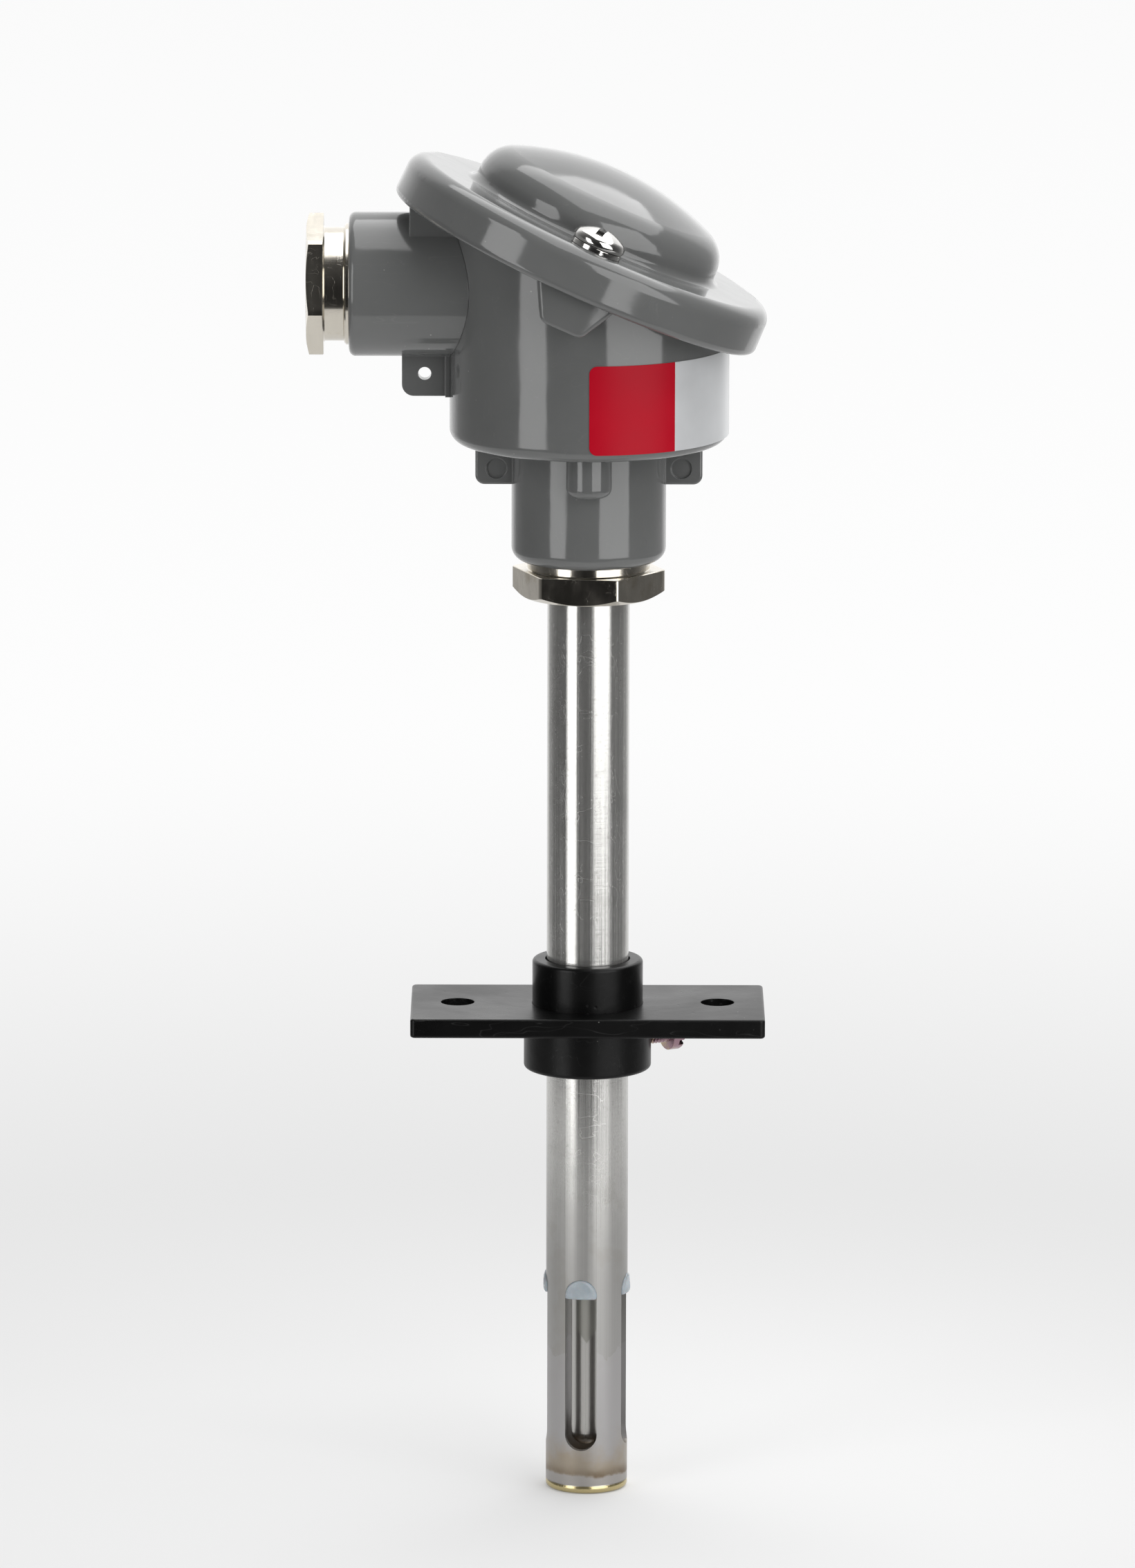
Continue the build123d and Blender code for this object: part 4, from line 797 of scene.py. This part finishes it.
# floor, lamps and world
def litStage():
    # the floor is a table that ends a little in front of the object, so its front reflects the dark room;
    # its height is in millimetres
    look = {"height": -93.75, "front": -0.26, "back": 3.2, "side": 0.36, "paintedShadeNearLevel": 0.75, "farLevel": 0.97,
            "paintedShadeFrom": 0.1, "paintedShadeTo": 0.8, "shade": 0.5, "farShade": 0.04, "shadeFrom": 0.03,
            "shadeTo": 0.30, "lampShare": 1.1, "bounceColour": (0.8, 0.8, 0.8, 1)}
    z = look["height"] * mm
    corners = [(-look["side"], look["front"], z), (look["side"], look["front"], z),
               (look["side"], look["back"], z), (-look["side"], look["back"], z)]
    floor = meshObject("floor", corners, [(0, 1, 2, 3)])
    material = bpy.data.materials.new("floorWhite")
    material.use_nodes = True
    tree = material.node_tree
    tree.nodes.clear()
    path = tree.nodes.new("ShaderNodeLightPath").outputs
    seen = maths(tree, "MAXIMUM", path["Is Camera Ray"], path["Is Glossy Ray"])
    seen = maths(tree, "MAXIMUM", seen, path["Is Transmission Ray"])
    # near the object a part of the white is real shade, so that its shadow shows
    place = tree.nodes.new("ShaderNodeTexCoord").outputs["Object"]
    away = addNode(tree, "ShaderNodeVectorMath", {"operation": "LENGTH"}, {0: place}).outputs["Value"]
    # the floor's glow is painted lower near the object and rises to the far level with distance: a painted
    # shade round the object's foot, on top of the real shadow from the grey share below
    level = between(tree, away, look["paintedShadeFrom"], look["paintedShadeTo"], look["paintedShadeNearLevel"], look["farLevel"])
    grey = between(tree, away, look["shadeFrom"], look["shadeTo"], look["shade"], look["farShade"])
    shadeColour = addNode(tree, "ShaderNodeCombineColor", None, {0: grey, 1: grey, 2: grey}).outputs[0]
    shade = addNode(tree, "ShaderNodeBsdfDiffuse", None, {"Color": shadeColour})
    glow = addNode(tree, "ShaderNodeEmission", None, {
        "Color": (1, 1, 1, 1), "Strength": maths(tree, "MULTIPLY_ADD", grey, -look["lampShare"], level)})
    both = addNode(tree, "ShaderNodeAddShader", None, {0: shade.outputs[0], 1: glow.outputs[0]})
    bounce = addNode(tree, "ShaderNodeBsdfDiffuse", None, {"Color": look["bounceColour"]})
    mixed = addNode(tree, "ShaderNodeMixShader", None, {0: seen, 1: bounce.outputs[0], 2: both.outputs[0]})
    addNode(tree, "ShaderNodeOutputMaterial", None, {0: mixed.outputs[0]})
    setMaterial(floor, material)


# azimuth 0 is the camera's side, and it grows to the right
lampLooks = {
    "softboxLeft": {"azimuth": -47.0, "elevation": 0.0, "distance": 1.5, "size": (0.66, 1.5), "power": 11.0,
                    "aim": (0, 0, 0.39)},
    "softboxRight": {"azimuth": 38.5, "elevation": 0.0, "distance": 1.5, "size": (1.30, 1.5), "power": 20.0,
                     "aim": (0, 0, 0.475)},
    "topLight": {"azimuth": 115.0, "elevation": 70.0, "distance": 1.9, "size": (3.0, 2.4), "power": 60.0,
                 "aim": (0, 0, 0.06)},
}


def softbox(name, look):
    a, e = math.radians(look["azimuth"]), math.radians(look["elevation"])
    lamp = bpy.data.lights.new(name, "AREA")
    lamp.shape = "RECTANGLE"
    lamp.size, lamp.size_y = look["size"]
    lamp.energy = look["power"]
    lampObject = bpy.data.objects.new(name, lamp)
    bpy.context.scene.collection.objects.link(lampObject)
    away = Vector((math.sin(a) * math.cos(e), -math.cos(a) * math.cos(e), math.sin(e)))
    lampObject.location = Vector(look["aim"]) + away * look["distance"]
    lampObject.rotation_euler = (-away).to_track_quat("-Z", "Y").to_euler()


def worldLight():
    # a white backdrop behind the object and above it, and a dark room at its sides and front
    look = {"stops": ((0.0, 0.02), (0.55, 0.10), (0.70, 0.18), (0.80, 0.32), (0.87, 0.45), (0.93, 1.0),
                      (1.0, 1.3)), "above": 0.25, "seen": (1.0, 1.0, 1.0, 1)}
    world = bpy.data.worlds.new("studio")
    bpy.context.scene.world = world
    world.use_nodes = True
    tree = world.node_tree
    tree.nodes.clear()
    direction = tree.nodes.new("ShaderNodeTexCoord").outputs["Generated"]
    parts = addNode(tree, "ShaderNodeSeparateXYZ", None, {0: direction})
    # how far back a direction points, from 0 towards the camera to 1
    behind = maths(tree, "MULTIPLY_ADD", parts.outputs[1], 0.5, 0.5)
    above = maths(tree, "MULTIPLY", maths(tree, "MAXIMUM", parts.outputs[2], 0.0), look["above"])
    ramp = addNode(tree, "ShaderNodeValToRGB", None, {0: maths(tree, "ADD", behind, above)})
    stops = ramp.color_ramp.elements
    while len(stops) < len(look["stops"]):
        stops.new(1.0)
    for stop, (position, level) in zip(stops, look["stops"]):
        stop.position = position
        stop.color = (level, level, level, 1)
    path = tree.nodes.new("ShaderNodeLightPath").outputs
    seen = blendColours(tree, path["Is Camera Ray"], ramp.outputs[0], look["seen"])
    background = addNode(tree, "ShaderNodeBackground", None, {"Color": seen, "Strength": 1.0})
    addNode(tree, "ShaderNodeOutputWorld", None, {0: background.outputs[0]})


def camera():
    # focal length, image size and the axis's column are in pixels of the photograph
    look = {"focal": 17000.0, "imageHeight": 2268, "imageWidth": 1641, "elevation": 11.6, "distance": 2291.0,
            "aimHeight": 47.3, "axisColumn": 850.26, "roll": 0.126, "sensorWidth": 36.0, "clipEnd": 50.0}
    lens = bpy.data.cameras.new("camera")
    lens.sensor_fit = "AUTO"
    lens.sensor_width = look["sensorWidth"]
    lens.lens = look["focal"] / look["imageHeight"] * look["sensorWidth"]
    lens.clip_end = look["clipEnd"]
    viewer = bpy.data.objects.new("camera", lens)
    bpy.context.scene.collection.objects.link(viewer)
    e = math.radians(look["elevation"])
    away = Vector((0, -math.cos(e), math.sin(e)))
    side = (look["axisColumn"] - look["imageWidth"] / 2) / look["focal"] * look["distance"]
    viewer.location = (Vector((-side, 0, look["aimHeight"])) + away * look["distance"]) * mm
    turn = (-away).to_track_quat("-Z", "Y").to_matrix() @ Matrix.Rotation(math.radians(look["roll"]), 3, "Z")
    viewer.rotation_euler = turn.to_euler()
    bpy.context.scene.camera = viewer


litStage()
worldLight()
for lampName, lampLook in lampLooks.items():
    softbox(lampName, lampLook)
camera()
bpy.context.scene.view_settings.view_transform = "Standard"
print("stage, lamps and camera set")
